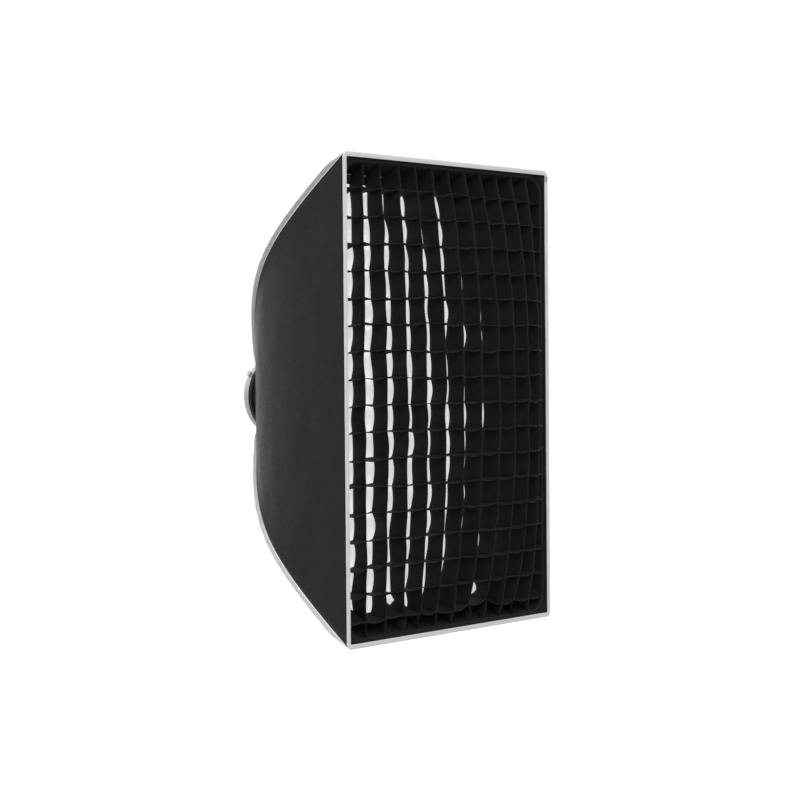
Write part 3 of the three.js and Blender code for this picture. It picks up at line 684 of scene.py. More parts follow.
def drape(pieces, cap):
    """Runs the cloth of several pieces at once and keeps each point within `cap` of its start."""
    scene = bpy.context.scene
    scene.frame_start = 1
    scene.frame_end = DRAPE_FRAMES
    for number in range(1, DRAPE_FRAMES + 1):
        scene.frame_set(number)
    graph = bpy.context.evaluated_depsgraph_get()
    for piece in pieces:
        before = positions(piece.data, (-1, 3))
        move = positions(piece.evaluated_get(graph).data, (-1, 3)) - before
        size = np.linalg.norm(move, axis=1)
        limit = cap[piece.name]
        keep = limit * np.tanh(size / np.maximum(limit, 1e-9)) / np.maximum(size, 1e-9)
        piece.modifiers.clear()
        move_to(piece, before + move * keep[:, None])
    scene.frame_set(1)


def border(rows, columns, rim=1):
    """Indices of the outer `rim` rows and columns of a sheet."""
    index = np.arange(rows * columns).reshape(rows, columns)
    return np.setdiff1d(index, index[rim:-rim, rim:-rim])


def add_panels():
    """Outer panels: cloth held in the seams, the rim and the ring's collar."""
    panels = {}
    for side in SIDES:
        points = shell_grid(side, 0.0)
        piece = add_sheet(f"{side}_panel", points, NYLON, "box", [f"panel_{side}"])
        panels[side] = (piece, points)
    return panels


def add_diffuser():
    """White sheet in the front, and the indices of its held edge."""
    half = outline_extent(DIFFUSER_DEPTH, GRID_INSET)
    rows, columns = 79, 53
    u, v = np.meshgrid(np.linspace(-1, 1, columns), np.linspace(1, -1, rows))
    x, z = rounded(u * half[0], v * half[1], half, TAPE_CORNER)
    piece = add_sheet("front_diffuser_cloth", layered(x, FRONT_Y + DIFFUSER_DEPTH, z), WHITE_CLOTH,
                      "diffuser", ["front_diffuser"])
    return piece, border(rows, columns, 3)


def add_baffle():
    """Inner baffle: a white sheet whose edges draw in between its straps, and its held edge."""
    rows, columns = 61, 41
    u, v = np.meshgrid(np.linspace(-1, 1, columns), np.linspace(1, -1, rows))
    x = u * (BAFFLE_HIGH.x - BAFFLE_SCALLOP * (1 - v**2) * np.abs(u) ** 3)
    z = v * (BAFFLE_HIGH.z - BAFFLE_SCALLOP * (1 - u**2) * np.abs(v) ** 3)
    piece = add_sheet("baffle_cloth", layered(x, BAFFLE_LOW.y + 0.5 * MM, z), BAFFLE_CLOTH,
                      "box", ["inner_baffle"])
    return piece, border(rows, columns, 2)


# ---- Draping and finishing the cloth ----
PANEL_SAG = 7 * MM
FRONT_SAG = 0.8 * MM  # at the front lip
RING_SAG = 0.05 * MM  # at the ring
WHITE_SAG = 4 * MM
FREE_FRONT = (60 * MM, 200 * MM)  # the panels come free of the lip between these depths
FREE_REAR = (455 * MM, 380 * MM)  # and are held again towards the ring
PANEL_SLACK = 0.002
DIFFUSER_SLACK = 0.004
BAFFLE_SLACK = 0.006


def panel_cap(points):
    """How far panel cloth may stray: little at the front lip and the ring, more between."""
    depth = points[:, 1] - FRONT_Y
    front = smoothstep(*FREE_FRONT, depth)
    rear = smoothstep(*FREE_REAR, depth)
    return (FRONT_SAG + PANEL_SAG * front) * rear + RING_SAG


def drape_cloth():
    """Lets the panels, the diffuser and the inner baffle settle, then finishes them."""
    panels = add_panels()
    diffuser, diffuser_edge = add_diffuser()
    baffle, baffle_edge = add_baffle()
    cap = {}
    for piece, points in panels.values():
        cloth_settings(piece, border(SHELL_ROWS, SHELL_COLUMNS), PANEL_SLACK)
        cap[piece.name] = panel_cap(points.reshape(-1, 3))
    cloth_settings(diffuser, diffuser_edge, DIFFUSER_SLACK)
    cloth_settings(baffle, baffle_edge, BAFFLE_SLACK)
    for piece in (diffuser, baffle):
        cap[piece.name] = np.full(len(piece.data.vertices), WHITE_SAG)
    drape([piece for piece, _ in panels.values()] + [diffuser, baffle], cap)
    for side, (piece, points) in panels.items():
        finish_panel(side, piece, points)
    thicken(diffuser, DIFFUSER_THICKNESS)
    thicken(baffle, BAFFLE_THICKNESS)


def evened(moves, passes=10):
    """Moves of a sheet's points, smoothed as stiff cloth would; the border stays."""
    for _ in range(passes):
        around = moves[:-2, 1:-1] + moves[2:, 1:-1] + moves[1:-1, :-2] + moves[1:-1, 2:]
        moves[1:-1, 1:-1] = 0.5 * moves[1:-1, 1:-1] + 0.125 * around
    return moves


def finish_panel(side, piece, points):
    """Adds seam puckers to a panel, and the silver lining that follows it."""
    sag = evened(positions(piece.data, points.shape) - points)
    pucker = seam_puckers(side, points)[..., None] * outward(side)
    move_to(piece, points + sag + pucker)
    thicken(piece, PANEL_THICKNESS)
    inner = shell_grid(side, LINING_INSET, time_at_depth(LINING_DEPTH)) + sag
    lining = add_sheet(f"{side}_lining", inner, LINING, "box", [f"lining_{side}"])
    thicken(lining, LINING_THICKNESS)


# ---- Outlines and bands inside the shell ----
INSET_ACROSS = 1.05  # how far the sloped shell draws in for an inset of 1
INSET_UP = 1.134
QUARTERS = ((1, 1), (-1, 1), (-1, -1), (1, -1))


def outline_extent(depth, inset):
    """Half width and half height inside the sloped shell."""
    radius = radius_at_depth(depth)
    return radius * ACROSS - INSET_ACROSS * inset, radius * UP - INSET_UP * inset


def rounded(x, z, half, corner):
    """Moves points of a rectangle into the same rectangle with round corners."""
    dx = np.abs(x) - (half[0] - corner)
    dz = np.abs(z) - (half[1] - corner)
    in_corner = (dx > 0) & (dz > 0)
    length = np.hypot(dx, dz)
    scale = np.where(in_corner, np.maximum(dx, dz) / np.maximum(length, 1e-9), 1)
    new_x = np.where(in_corner, half[0] - corner + dx * scale, np.abs(x))
    new_z = np.where(in_corner, half[1] - corner + dz * scale, np.abs(z))
    return np.sign(x) * new_x, np.sign(z) * new_z


def rounded_loop(half, corner, arc_steps=8, straight_steps=(30, 45)):
    """Points round a rounded rectangle in X and Z, and the outward direction at each."""
    centres = [np.array([sx * (half[0] - corner), sz * (half[1] - corner)]) for sx, sz in QUARTERS]
    points, normals = [], []
    for quarter, centre in enumerate(centres):
        for angle in np.linspace(0, math.pi / 2, arc_steps + 1) + quarter * math.pi / 2:
            normal = np.array([math.cos(angle), math.sin(angle)])
            points.append(centre + corner * normal)
            normals.append(normal)
        steps = straight_steps[quarter % 2]
        following = centres[(quarter + 1) % 4]
        for share in np.arange(1, steps) / steps:
            points.append(centre + (following - centre) * share + corner * normal)
            normals.append(normal)
    return np.array(points), np.array(normals)


def flat_section(front, back, inset, thickness):
    """(depth, inset) round the section of a flat band with rounded edges."""
    middle = inset + thickness / 2
    round_off = 0.4 * thickness
    depths = np.linspace(front + round_off, back - round_off, 9)
    outer = [(depth, inset) for depth in depths]
    inner = [(depth, inset + thickness) for depth in depths[::-1]]
    return outer + [(back, middle)] + inner + [(front, middle)]


def beside_lip(section):
    """Adds the corner radius that keeps each (depth, inset) parallel to the lip."""
    return [(depth, inset, LIP_CORNER - (inset - LIP_INSET)) for depth, inset in section]


def add_band(name, section, look, body, replaces=()):
    """A band inside the shell, through loops at each (depth, inset, corner radius)."""
    rings = []
    for depth, inset, corner in section:
        loop, _ = rounded_loop(outline_extent(depth, inset), corner)
        rings.append(layered(loop[:, 0], FRONT_Y + depth, loop[:, 1]))
    rings = np.array(rings)
    along, over = np.meshgrid(lengths_along(rings[0]), lengths_along(rings[:, 0]))
    add_loft(name, rings, look, body, replaces, closed=True,
             cloth=layered(along, over, over / over.max()))


def add_lip():
    """The front lip, and the black web between its round corners and the rim."""
    lip = flat_section(LIP_FRONT, LIP_BACK, LIP_INSET, LIP_THICKNESS)
    add_band("front_lip_band", beside_lip(lip), LOOP_TAPE, "box", ["front_lip"])
    outside = (LIP_INSET, WEB_CORNER)
    inside = (LIP_INSET + LIP_THICKNESS / 2, LIP_CORNER)
    front, back = WEB_FRONT, WEB_FRONT + WEB_THICKNESS
    web = [(front, *outside), (back, *outside), (back, *inside), (front, *inside)]
    add_band("front_lip_web", web, LOOP_TAPE, "box")


def add_hook_tapes():
    """Hook tape round the grid and the diffuser, and a hem on the diffuser's face, coloured black as
    painted shade along the diffuser's edge.
    """
    grid = flat_section(GRID_FRONT, GRID_TAPE_BACK, TAPE_INSET, TAPE)
    add_band("grid_hook_band", beside_lip(grid), BLACK_BAND, "grid",
             ["grid_border"])
    diffuser = flat_section(*DIFFUSER_TAPE, TAPE_INSET, TAPE)
    add_band("diffuser_hook_band", beside_lip(diffuser), HOOK_TAPE, "diffuser",
             ["diffuser_border"])
    # the hem is a band of cloth, and its black colour is painted shade where the diffuser's edge lies
    # in shadow
    front, back = DIFFUSER_DEPTH - 2 * HEM_THICKNESS, DIFFUSER_DEPTH - HEM_THICKNESS
    inner = GRID_INSET + HEM_WIDTH
    hem = [(front, GRID_INSET), (back, GRID_INSET), (back, inner), (front, inner)]
    add_band("diffuser_hem", beside_lip(hem), BLACK_BAND, "diffuser")


# ---- Thread ----
STITCH_PITCH = 4.2 * MM
STITCH_LENGTH = 3.2 * MM
STITCH_RISE = 0.25 * MM  # how far a stitch arches up in its middle
STITCH_SINK = 0.05 * MM  # how far its ends lie in the cloth
THREAD_RADIUS = 0.3 * MM
STITCH_SHARES = np.array([-1, -0.75, 0, 0.75, 1])
STITCH_SIDES = 6


def sampled(values, run, where):
    """Rows of values (count, 3) along a path, read at other running lengths."""
    return np.stack([np.interp(where, run, values[:, k]) for k in range(3)], axis=-1)


def stitch_mesh(path, normals):
    """Points, faces and cloth coordinates of a row of stitches along a path on a surface."""
    run = lengths_along(path)
    middles = (np.arange(int(run[-1] / STITCH_PITCH)) + 0.5) * STITCH_PITCH
    where = middles[:, None] + STITCH_SHARES * STITCH_LENGTH / 2
    up = sampled(normals, run, where)
    arch = STITCH_RISE * (1 - STITCH_SHARES**2) - STITCH_SINK
    centre = sampled(path, run, where) + up * arch[:, None]
    ahead = centre[:, -1:] - centre[:, :1]
    ahead = ahead / np.linalg.norm(ahead, axis=-1, keepdims=True)
    beside = np.cross(ahead, up)
    turn = np.linspace(0, 2 * np.pi, STITCH_SIDES, endpoint=False)
    radius = THREAD_RADIUS * np.sqrt(1.05 - STITCH_SHARES**2)[:, None, None]
    offset = up[:, :, None] * np.cos(turn)[:, None] + beside[:, :, None] * np.sin(turn)[:, None]
    points = centre[:, :, None] + radius * offset
    one = np.array(loft_faces(len(STITCH_SHARES), STITCH_SIDES)[:-2])
    size = len(STITCH_SHARES) * STITCH_SIDES
    faces = []
    for start in range(0, size * len(middles), size):
        faces += (one + start).tolist()
        faces.append([start + k for k in range(STITCH_SIDES)])
        faces.append([start + size - 1 - k for k in range(STITCH_SIDES)])
    cloth = layered(where[:, :, None], turn * THREAD_RADIUS, 0)
    return points.reshape(-1, 3), faces, cloth.reshape(-1, 3)


def add_stitches(name, rows, body):
    """One piece of grey thread for several (path, normals) rows of stitches."""
    points, faces, cloth = merged([stitch_mesh(path, normals) for path, normals in rows])
    add_piece(name, points, faces, GREY_THREAD, body, cloth=cloth)


# ---- Seam bindings and rim ----
FIN_STATIONS = 190
SECTION_SIDES = 20
FIN_FOOT = 0.8 * MM
FIN_NARROWING = 25 * MM  # before the ring, over this length
STITCH_SHARE = 0.7  # stitches run this far across a tape, from its fold
STITCH_DEPTH = 0.3 * MM


def flattened(wave, power):
    """A wave with flatter crests, which squares a round section."""
    return np.sign(wave) * np.abs(wave) ** power


def tape_section():
    """(share across, share of half thickness) round a folded tape; share 0 is the fold."""
    turn = np.linspace(0, 2 * np.pi, SECTION_SIDES, endpoint=False)
    share = 0.5 - 0.5 * flattened(np.cos(turn), 0.6)
    side = flattened(np.sin(turn), 0.4)
    groove = 1 - 0.22 * np.exp(-((share - STITCH_SHARE) / 0.09) ** 2)
    return share, side * groove


def add_seam_bindings():
    """Grey tape folded over each corner's seam allowance, stitched through."""
    times = even_times(FIN_STATIONS, 0.002, 1.0)
    depth = seam(times)[1]
    run = lengths_along(off_seam((1, 1), times, 0))
    share, side = tape_section()
    widening = smoothstep(0, FIN_TAPER_DEPTH, depth)
    ending = 1 - 0.35 * smoothstep(run[-1] - FIN_NARROWING, run[-1], run)
    for seed, (name, corner) in enumerate(CORNERS.items()):
        width = FIN_FRONT_WIDTH + (FIN_WIDTH - FIN_FRONT_WIDTH) * widening
        width = width * ending * (1 + 0.03 * ripple(run, 30 * MM, 20 + seed))
        lean = 0.5 * MM * ripple(run, 34 * MM, 30 + seed)
        offset = FIN_FOOT + (width[:, None] - FIN_FOOT) * (1 - share)
        aside = FIN_THICKNESS / 2 * side + lean[:, None] * (1 - share)
        rings = off_seam(corner, times[:, None], offset, aside)
        add_loft(f"corner_tape_{name}", rings, TAPE_GREY, "box",
                 [f"seam_binding_{name}"], cloth=layered(run[:, None], offset, share))
        rows = []
        for face in (-1, 1):
            line = FIN_FOOT + (width - FIN_FOOT) * (1 - STITCH_SHARE)
            beside = face * 0.8 * FIN_THICKNESS / 2 + lean * (1 - STITCH_SHARE)
            normal = off_seam(corner, times, 0, face) - off_seam(corner, times, 0, 0)
            rows.append((off_seam(corner, times, line, beside), normal))
        add_stitches(f"corner_thread_{name}", rows, "box")


def add_rim():
    """Flat tape bound round the front edge, with a line of stitches near its inner edge."""
    half = (RIM_HIGH.x - RIM_BAND / 2, RIM_HIGH.z - RIM_BAND / 2)
    loop, normals = rounded_loop(half, RIM_CORNER - RIM_BAND / 2, 12, (60, 90))
    run = lengths_along(loop)[:, None]
    share, side = tape_section()
    wobble = 0.2 * MM * ripple(run, 45 * MM, 40)
    across = RIM_BAND * (0.5 - share)
    x = loop[:, :1] + normals[:, :1] * across
    z = loop[:, 1:] + normals[:, 1:] * across
    y = FRONT_Y + RIM_THICKNESS / 2 * (1 - side) + wobble * (1 - share)
    add_loft("rim_tape", layered(x, y, z), RIM_TAPE, "box", ["rim_binding"],
             closed=True, cloth=layered(run, RIM_BAND * share, share))
    line = loop + normals * RIM_BAND * (0.5 - STITCH_SHARE)
    line = np.vstack([line, line[:1]])
    rows = []
    for face, depth in ((-1, STITCH_DEPTH), (1, RIM_THICKNESS - STITCH_DEPTH)):
        path = layered(line[:, 0], FRONT_Y + depth, line[:, 1])
        rows.append((path, np.tile([0.0, face, 0.0], (len(line), 1))))
    add_stitches("rim_thread", rows, "box")


# ---- Grid crate ----
CELL_STEPS = 8
RIBBON_SHARES = np.linspace(0, 1, 6)  # over a ribbon's depth, from its front edge
RIBBON_HALF = 0.45 * MM
RIBBON_LEAN = -6 * MM  # back edges of the right half's upright ribbons
FIRST_LEAN = -4 * MM
LEVEL_TWIST = 8 * MM  # back edges of level ribbons, near their ends
LEVEL_DIP = -3.5 * MM  # the left ends of level ribbons


def grid_bulge(u, v):
    """How far the grid stands forward at a share of its half width and half height."""
    rise = np.clip((u + 0.85) / 1.2, 0, 1) ** 0.7
    across = rise * np.clip(1 - np.abs(u) ** 6.5, 0, 1)
    return GRID_BULGE * across * np.clip(1 - np.abs(v) ** 2.5, 0, 1)


def crate_place(x, z, share):
    """Where a point of the slack-free crate lies; share is 0 at the front edge, 1 at the back."""
    front = outline_extent(GRID_FRONT, GRID_INSET)
    back = outline_extent(GRID_FRONT + GRID_DEPTH, GRID_INSET)
    u, v = x / front[0], z / front[1]
    taper_x = (front[0] - back[0]) * share
    taper_z = (front[1] - back[1]) * share
    draw_x = np.sign(x) * smoothstep(0.55, 0.9, np.abs(u)) * taper_x
    draw_z = np.sign(z) * smoothstep(0.86, 1.0, np.abs(v)) * taper_z
    half = (front[0] - taper_x, front[1] - taper_z)
    new_x, new_z = rounded(x - draw_x, z - draw_z, half, TAPE_CORNER)
    return new_x, FRONT_Y + GRID_FRONT + GRID_DEPTH * share - grid_bulge(u, v), new_z


class Slack:
    """Seeded slack of the crate: how far each crossing and each stretch of ribbon strays.

    Crossings stray in X and Z at their front and back, by (axis, column, row). Stretches
    between them bow, upright ones in X and level ones in Z. The last rows are the loosest.
    """

    def __init__(self):
        rng = np.random.default_rng(7)
        crossings = (2, GRID_COLUMNS + 1, GRID_ROWS + 1)
        self.front = rng.normal(0, 1.1 * MM, crossings)
        self.back = self.front + rng.normal(0, 1.8 * MM, crossings)
        self.back[1] -= 0.8 * MM
        self.back[:, :, -3:-1] *= 2.5
        self.front[:, :, -2] *= 3.5
        self.back[0, 3::2, 1:3] -= 5 * MM
        for moves in (self.front, self.back):
            moves[:, [0, -1], :] = 0
            moves[:, :, [0, -1]] = 0
        self.draw_uprights(rng, (GRID_COLUMNS + 1, GRID_ROWS))
        self.draw_levels(rng, (GRID_COLUMNS, GRID_ROWS + 1))

    def draw_uprights(self, rng, stretches):
        """Bows of the upright ribbons, which close some cells of the first two rows."""
        self.upright_front = rng.normal(0.4 * MM, 1.5 * MM, stretches)
        self.upright_back = rng.normal(2.6 * MM, 2.4 * MM, stretches)
        self.upright_back[:, -2:] *= 1.8
        self.upright_back[:, -1] *= 2.2
        self.upright_front[:, -1] *= 4
        self.upright_back[:, 0] -= 6 * MM
        self.upright_back[3::2, 1] -= 4 * MM
        self.upright_front[[0, -1]] = 0
        self.upright_back[[0, -1]] = 0

    def draw_levels(self, rng, stretches):
        """Sag of the level ribbons; the last one inside the border lifts at the left."""
        self.level_front = rng.normal(-3.6 * MM, 1.5 * MM, stretches)
        self.level_back = rng.normal(-3 * MM, 2.6 * MM, stretches)
        self.level_back[4:, -2] -= 4 * MM
        self.level_back[:4, -2] += 10 * MM
        self.level_front[:, [0, -1]] = 0
        self.level_back[:, [0, -1]] = 0


def between(values, position):
    """Values at the crossings, smoothly between them, at positions counted in cells."""
    cell = np.minimum(position.astype(int), len(values) - 2)
    share = smoothstep(0, 1, position - cell)
    return values[cell] * (1 - share) + values[cell + 1] * share


def stretch(values, position):
    """A wave per cell that is zero at the crossings, with that cell's height."""
    cell = np.minimum(position.astype(int), len(values) - 1)
    return values[cell] * np.sin(np.pi * (position - cell))


def over_depth(front, back):
    """Values along a ribbon, from those of its front edge to those of its back edge."""
    return front[:, None] * (1 - RIBBON_SHARES) + back[:, None] * RIBBON_SHARES


def upright_lean(number, xs):
    """How far the back edge of an upright ribbon lies to the right of its front edge."""
    if number in (0, GRID_COLUMNS):
        return 0.0
    if number == 1:
        return FIRST_LEAN
    return RIBBON_LEAN * smoothstep(-0.1, 0.2, xs[number] / xs[-1])


def level_drop(number, zs, place):
    """How far a level ribbon drops near its ends; the twist turns over at mid-height."""
    if number in (0, GRID_ROWS):
        return 0.0
    height = zs[number] / zs[0]
    twist = LEVEL_TWIST * np.sign(height) * min(1.0, 0.25 + abs(height) ** 1.5)
    from_end = np.minimum(place, GRID_COLUMNS - place)
    return LEVEL_DIP * np.exp(-place / 0.5) - twist * RIBBON_SHARES * np.exp(-from_end / 1.1)


def crate_ribbon(number, upright, xs, zs, slack):
    """A ribbon's points, faces and cloth coordinates: down the crate if upright, or across it."""
    cells = GRID_ROWS if upright else GRID_COLUMNS
    own = (number, slice(None)) if upright else (slice(None), number)
    place = np.linspace(0, cells, cells * CELL_STEPS + 1)
    crossings = [(between(slack.front[axis][own], place), between(slack.back[axis][own], place))
                 for axis in (0, 1)]
    dx, dz = (over_depth(front, back) for front, back in crossings)
    along = place[:, None]
    if upright:
        x = np.full_like(along, xs[number])
        z = np.interp(along, np.arange(cells + 1), zs)
        dx += over_depth(stretch(slack.upright_front[number], place),
                         stretch(slack.upright_back[number], place))
        from_end = np.minimum(along, cells - along)
        dx += upright_lean(number, xs) * RIBBON_SHARES * smoothstep(0, 1, from_end)
    else:
        x = np.interp(along, np.arange(cells + 1), xs)
        z = np.full_like(along, zs[number])
        dz += over_depth(stretch(slack.level_front[:, number], place),
                         stretch(slack.level_back[:, number], place))
        dz += level_drop(number, zs, along)
    px, py, pz = crate_place(*np.broadcast_arrays(x, z, RIBBON_SHARES))
    centre = layered(px + dx, py, pz + dz)
    aside = np.array([RIBBON_HALF, 0, 0] if upright else [0, 0, RIBBON_HALF])
    rings = np.concatenate([centre + aside, centre[:, ::-1] - aside], axis=1)
    levels = np.concatenate([RIBBON_SHARES, RIBBON_SHARES[::-1]])
    cloth = layered(lengths_along(centre[:, 0])[:, None], levels * GRID_DEPTH, levels)
    points = rings.reshape(-1, 3)
    return points, facing_out(points, loft_faces(*rings.shape[:2])), cloth.reshape(-1, 3)


def add_crate():
    """The fabric grid: ribbons sewn together at every crossing."""
    half = outline_extent(GRID_FRONT, GRID_INSET)
    xs = np.linspace(-half[0], half[0], GRID_COLUMNS + 1)
    inner = (GRID_ROWS / 2 - np.arange(1, GRID_ROWS)) * GRID_ROW_PITCH - GRID_ROW_DROP
    zs = np.concatenate([[half[1]], inner, [-half[1]]])
    slack = Slack()
    ribbons = [crate_ribbon(number, True, xs, zs, slack) for number in range(GRID_COLUMNS + 1)]
    ribbons += [crate_ribbon(number, False, xs, zs, slack) for number in range(GRID_ROWS + 1)]
    points, faces, cloth = merged(ribbons)
    add_piece("grid_ribbons", points, faces, RIBBON, "grid", ["grid_crate"], cloth)


# ---- Rods, pockets, collar and straps ----
ROD_STATIONS = 60
POCKET_STATIONS = 12
POCKET_END = 2 * MM  # its closed end stands this far ahead of the rod's moulded tip
POCKET_CREASE = 0.25 * MM
TIP_PLAY = 0.3 * MM
STRAP_OVERLAP = 4 * MM  # onto the baffle's corners
STRAP_BACK = 2 * MM  # behind the baffle's front face
COLLAR_STATIONS = 15
COLLAR_INSIDE = RING_RADIUS + 2.5 * MM
COLLAR_OUTSIDE = RING_RADIUS + 3.1 * MM
COLLAR_FLARE = 0.6 * MM  # towards its front edge
COLLAR_HEM = 0.5 * MM
COLLAR_GATHER = 0.35 * MM


def add_rods():
    """Sprung steel rods in the corners, with sewn pockets over their front tips."""
    times = even_times(ROD_STATIONS, time_at_depth(ROD_FRONT), ROD_END_TIME)
    for seed, (name, corner) in enumerate(CORNERS.items()):
        path = off_seam(corner, times, -ROD_INSET)
        ahead = np.gradient(path, axis=0)
        ahead /= np.linalg.norm(ahead, axis=1, keepdims=True)
        add_loft(f"spring_rod_{name}", round_rings(path, ahead, ROD_RADIUS, 14), ROD_STEEL,
                 "box", [f"rod_{name}"])
        add_pocket(name, path[0], -ahead[0], 50 + seed)


def add_pocket(name, rod_end, ahead, seed):
    """Sewn pocket: a sleeve round the rod's tip, from its inside out, closed in front."""
    closed_end = TIP_LENGTH + POCKET_END
    mouth = closed_end - POCKET_LENGTH
    sleeve = np.linspace(mouth, closed_end - POCKET_END, POCKET_STATIONS)
    outside = POCKET_RADIUS + POCKET_CREASE * ripple(sleeve, 12 * MM, seed)
    inside = TIP_RADIUS + TIP_PLAY
    stops = [TIP_LENGTH + 2 * TIP_PLAY, mouth, *sleeve, closed_end - 0.7 * MM, closed_end]
    radii = [inside, inside, *outside, 0.75 * POCKET_RADIUS, 0.35 * POCKET_RADIUS]
    line = rod_end + np.array(stops)[:, None] * ahead
    add_loft(f"rod_pocket_{name}", round_rings(line, ahead, radii, 18), LOOP_TAPE,
             "box", [f"corner_pocket_{name}"])


def add_collar():
    """Hemmed cloth collar that grips the ring, with a row of stitches over its hem."""
    turn = np.linspace(0, 2 * np.pi, 144, endpoint=False)
    back = MOUNTING_Y - COLLAR_BACK
    depth = np.linspace(back, MOUNTING_Y - COLLAR_FRONT, COLLAR_STATIONS)
    share = np.linspace(0, 1, COLLAR_STATIONS)
    hem = COLLAR_HEM * np.exp(-((share - 0.08) / 0.1) ** 2)
    outside = COLLAR_OUTSIDE + hem + COLLAR_FLARE * smoothstep(0.4, 1, share)
    radius = np.concatenate([outside, np.full(COLLAR_STATIONS, COLLAR_INSIDE)])[:, None]
    y = np.concatenate([depth, depth[::-1]])[:, None]
    run = turn * RING_RADIUS
    gather = COLLAR_GATHER * ripple(run, 15 * MM, 60)
    around = radius + gather * np.concatenate([share, np.zeros(COLLAR_STATIONS)])[:, None]
    rings = layered(around * np.cos(turn), y, around * np.sin(turn))
    add_loft("ring_collar", rings, NYLON, "box", ["rear_collar"],
             closed=True, cloth=layered(run, y, 0))
    circle = layered(np.cos(turn), 0, np.sin(turn))
    circle = np.vstack([circle, circle[:1]])
    path = circle * (COLLAR_OUTSIDE + 0.2 * MM) + [0, back - 4 * MM, 0]
    add_stitches("collar_thread", [(path, circle)], "box")


def add_straps():
    """Elastic straps from the inner baffle's corners to the hooks beside the rods."""
    radius = radius_at_depth(BAFFLE_LOW.y - FRONT_Y) - STRAP_SETBACK
    held_x, held_z = BAFFLE_HIGH.x - STRAP_OVERLAP, BAFFLE_HIGH.z - STRAP_OVERLAP
    y = BAFFLE_LOW.y + STRAP_BACK
    share = np.linspace(0, 1, 24)[:, None]
    half = STRAP_WIDTH / 2 * (1 - 0.12 * np.sin(np.pi * share))
    section = ((-1, -0.5), (-0.9, 0.5), (0.9, 0.5), (1, -0.5), (0.9, -0.6), (-0.9, -0.6))
    over = np.array([STRAP_WIDTH / 2 * across for across, _ in section])
    for name, (sx, sz) in CORNERS.items():
        start = np.array([sx * held_x, y, sz * held_z])
        end = np.array([sx * radius * ACROSS, y, sz * radius * UP])
        line = start + (end - start) * share
        aside = np.cross((end - start) / np.linalg.norm(end - start), [0.0, 1.0, 0.0])
        rings = np.stack([line + aside * half * across + [0, STRAP_THICKNESS * through, 0]
                          for across, through in section], axis=1)
        add_loft(f"elastic_strap_{name}", rings, ELASTIC, "box",
                 [f"baffle_strap_{name}"], cloth=layered(lengths_along(line)[:, None], over, 0))


# ---- Metal and plastic ----
HARD_LOOKS = {
    "rod_ring": CAST,
    "clamp_knob": CAST,
    "bayonet_adapter": STEEL,
    "clamp_screw": STEEL,
    "retaining_ring": PAINTED,
    "slip_ring": ACETAL,
    "retaining_screw": STEEL,
    "rod_ferrule": STEEL,
    "rod_tip": PLASTIC,
    "baffle_hook": PLASTIC,
}
EDGE_WIDTH = 0.3 * MM
EDGE_ANGLE = math.radians(35)  # only edges sharper than this are softened


def finish_hard_parts():
    """Materials and softened edges for the solids that stay."""
    for name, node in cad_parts.items():
        for start, look in HARD_LOOKS.items():
            if name.startswith(start):
                node.data.materials.clear()
                node.data.materials.append(look)
                bevel = node.modifiers.new("soft_edges", "BEVEL")
                bevel.width = EDGE_WIDTH
                bevel.segments = 2
                bevel.limit_method = "ANGLE"
                bevel.angle_limit = EDGE_ANGLE


# ---- Studio ----
FLOOR_Z = -1.25
FLOOR_HALF = 40
FLOOR_GREY = (0.4, 0.4, 0.4, 1)
SKY = {"From Min": -0.6, "From Max": 0.8, "To Min": 0.1, "To Max": 0.85}  # light by height
BACKDROP = 1.05  # strength of the white that the camera sees
LIGHT_TARGET = Vector((0, FRONT_Y + 0.2, 0))
LIGHTS = {  # place, size in metres, power in watts
    "key": ((-2.4, FRONT_Y - 2.8, 2.2), (2.0, 2.0), 64),
    "top": ((0.4, 0.3, 2.8), (2.5, 2.5), 22),
    "back": ((1.6, 3.4, 0.4), (1.6, 2.4), 14),
    "right": ((3.2, 0.8, 1.4), (2.0, 2.0), 60),
}
CAMERA_PLACE = (-2.9097, FRONT_Y - 2.4645, 0.0851)
CAMERA_AIM = Vector((0.74515, 0.66648, -0.02351))
CAMERA_ROLL = math.radians(-0.483)
CAMERA_SENSOR = 36
CAMERA_LENS = 89.83
CAMERA_SHIFT = (0.0006, 0.0005)


def add_floor():
    """Pale floor that the camera sees as white."""
    corners = [(x * FLOOR_HALF, y * FLOOR_HALF, 0) for x, y in ((-1, -1), (1, -1), (1, 1), (-1, 1))]
    mesh = bpy.data.meshes.new("floor")
    mesh.from_pydata(corners, [], [(0, 1, 2, 3)])
    look = Look("floor", 0.9)
    look.set("Base Color", FLOOR_GREY)
    look.set("Emission Color", (1, 1, 1, 1))
    look.set("Emission Strength", look.nodes.new("ShaderNodeLightPath").outputs["Is Camera Ray"])
    mesh.materials.append(look.material)
    floor = new_object("floor", mesh)
    floor.location.z = FLOOR_Z


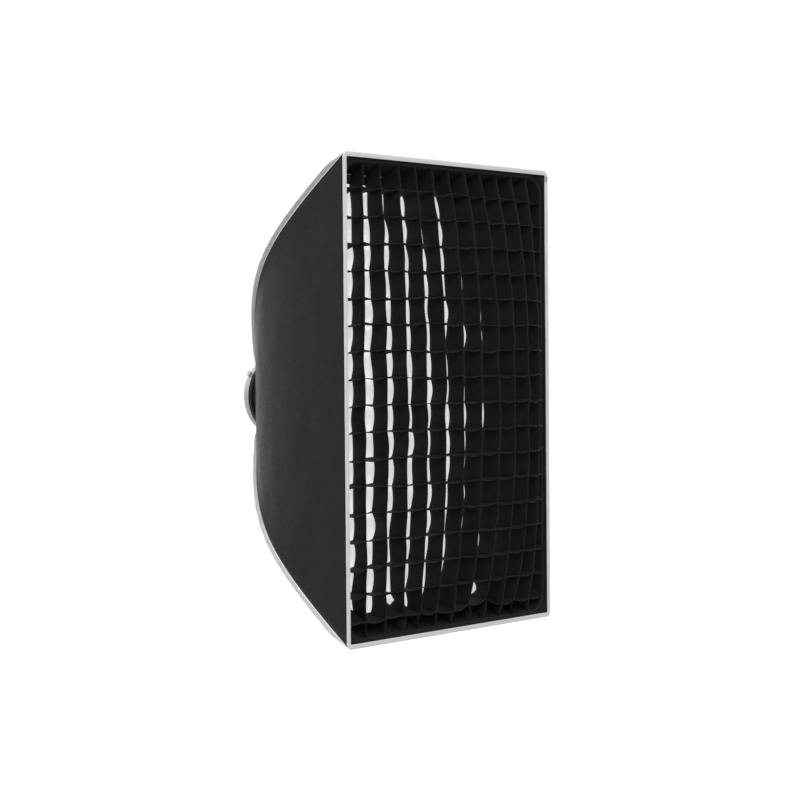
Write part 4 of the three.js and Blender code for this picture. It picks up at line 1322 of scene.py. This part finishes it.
def add_world():
    """White studio: pure white behind the object, softer light from below than above."""
    world = bpy.data.worlds.new("studio")
    bpy.context.scene.world = world
    world.use_nodes = True
    nodes, links = world.node_tree.nodes, world.node_tree.links
    place = nodes.new("ShaderNodeTexCoord")
    split = nodes.new("ShaderNodeSeparateXYZ")
    links.new(place.outputs["Generated"], split.inputs[0])
    height = nodes.new("ShaderNodeMapRange")
    for name, number in SKY.items():
        height.inputs[name].default_value = number
    links.new(split.outputs[2], height.inputs["Value"])
    seen = nodes.new("ShaderNodeLightPath")
    strength = nodes.new("ShaderNodeMix")
    links.new(seen.outputs["Is Camera Ray"], strength.inputs[0])
    links.new(height.outputs[0], strength.inputs[2])
    strength.inputs[3].default_value = BACKDROP
    links.new(strength.outputs[0], nodes["Background"].inputs["Strength"])
    nodes["Background"].inputs["Color"].default_value = (1, 1, 1, 1)


def add_light(name, place, size, power):
    """A soft square or oblong light that faces the object."""
    light = bpy.data.lights.new(name, "AREA")
    light.shape = "RECTANGLE"
    light.size, light.size_y = size
    light.energy = power
    lamp = new_object(name, light)
    lamp.location = place
    lamp.rotation_euler = (LIGHT_TARGET - Vector(place)).to_track_quat("-Z", "Y").to_euler()


def add_camera():
    camera = bpy.data.cameras.new("camera")
    camera.sensor_width = CAMERA_SENSOR
    camera.lens = CAMERA_LENS
    camera.shift_x, camera.shift_y = CAMERA_SHIFT
    camera.clip_end = 200
    holder = new_object("camera", camera)
    holder.location = CAMERA_PLACE
    holder.rotation_mode = "QUATERNION"
    aim = CAMERA_AIM.to_track_quat("-Z", "Y")
    holder.rotation_quaternion = aim @ Quaternion((0, 0, 1), CAMERA_ROLL)
    bpy.context.scene.camera = holder


drape_cloth()
add_seam_bindings()
add_rim()
add_lip()
add_hook_tapes()
add_crate()
add_rods()
add_collar()
add_straps()
finish_hard_parts()
add_floor()
add_world()
for name, (place, size, power) in LIGHTS.items():
    add_light(name, place, size, power)
add_camera()
bpy.context.scene.view_settings.view_transform = "Standard"
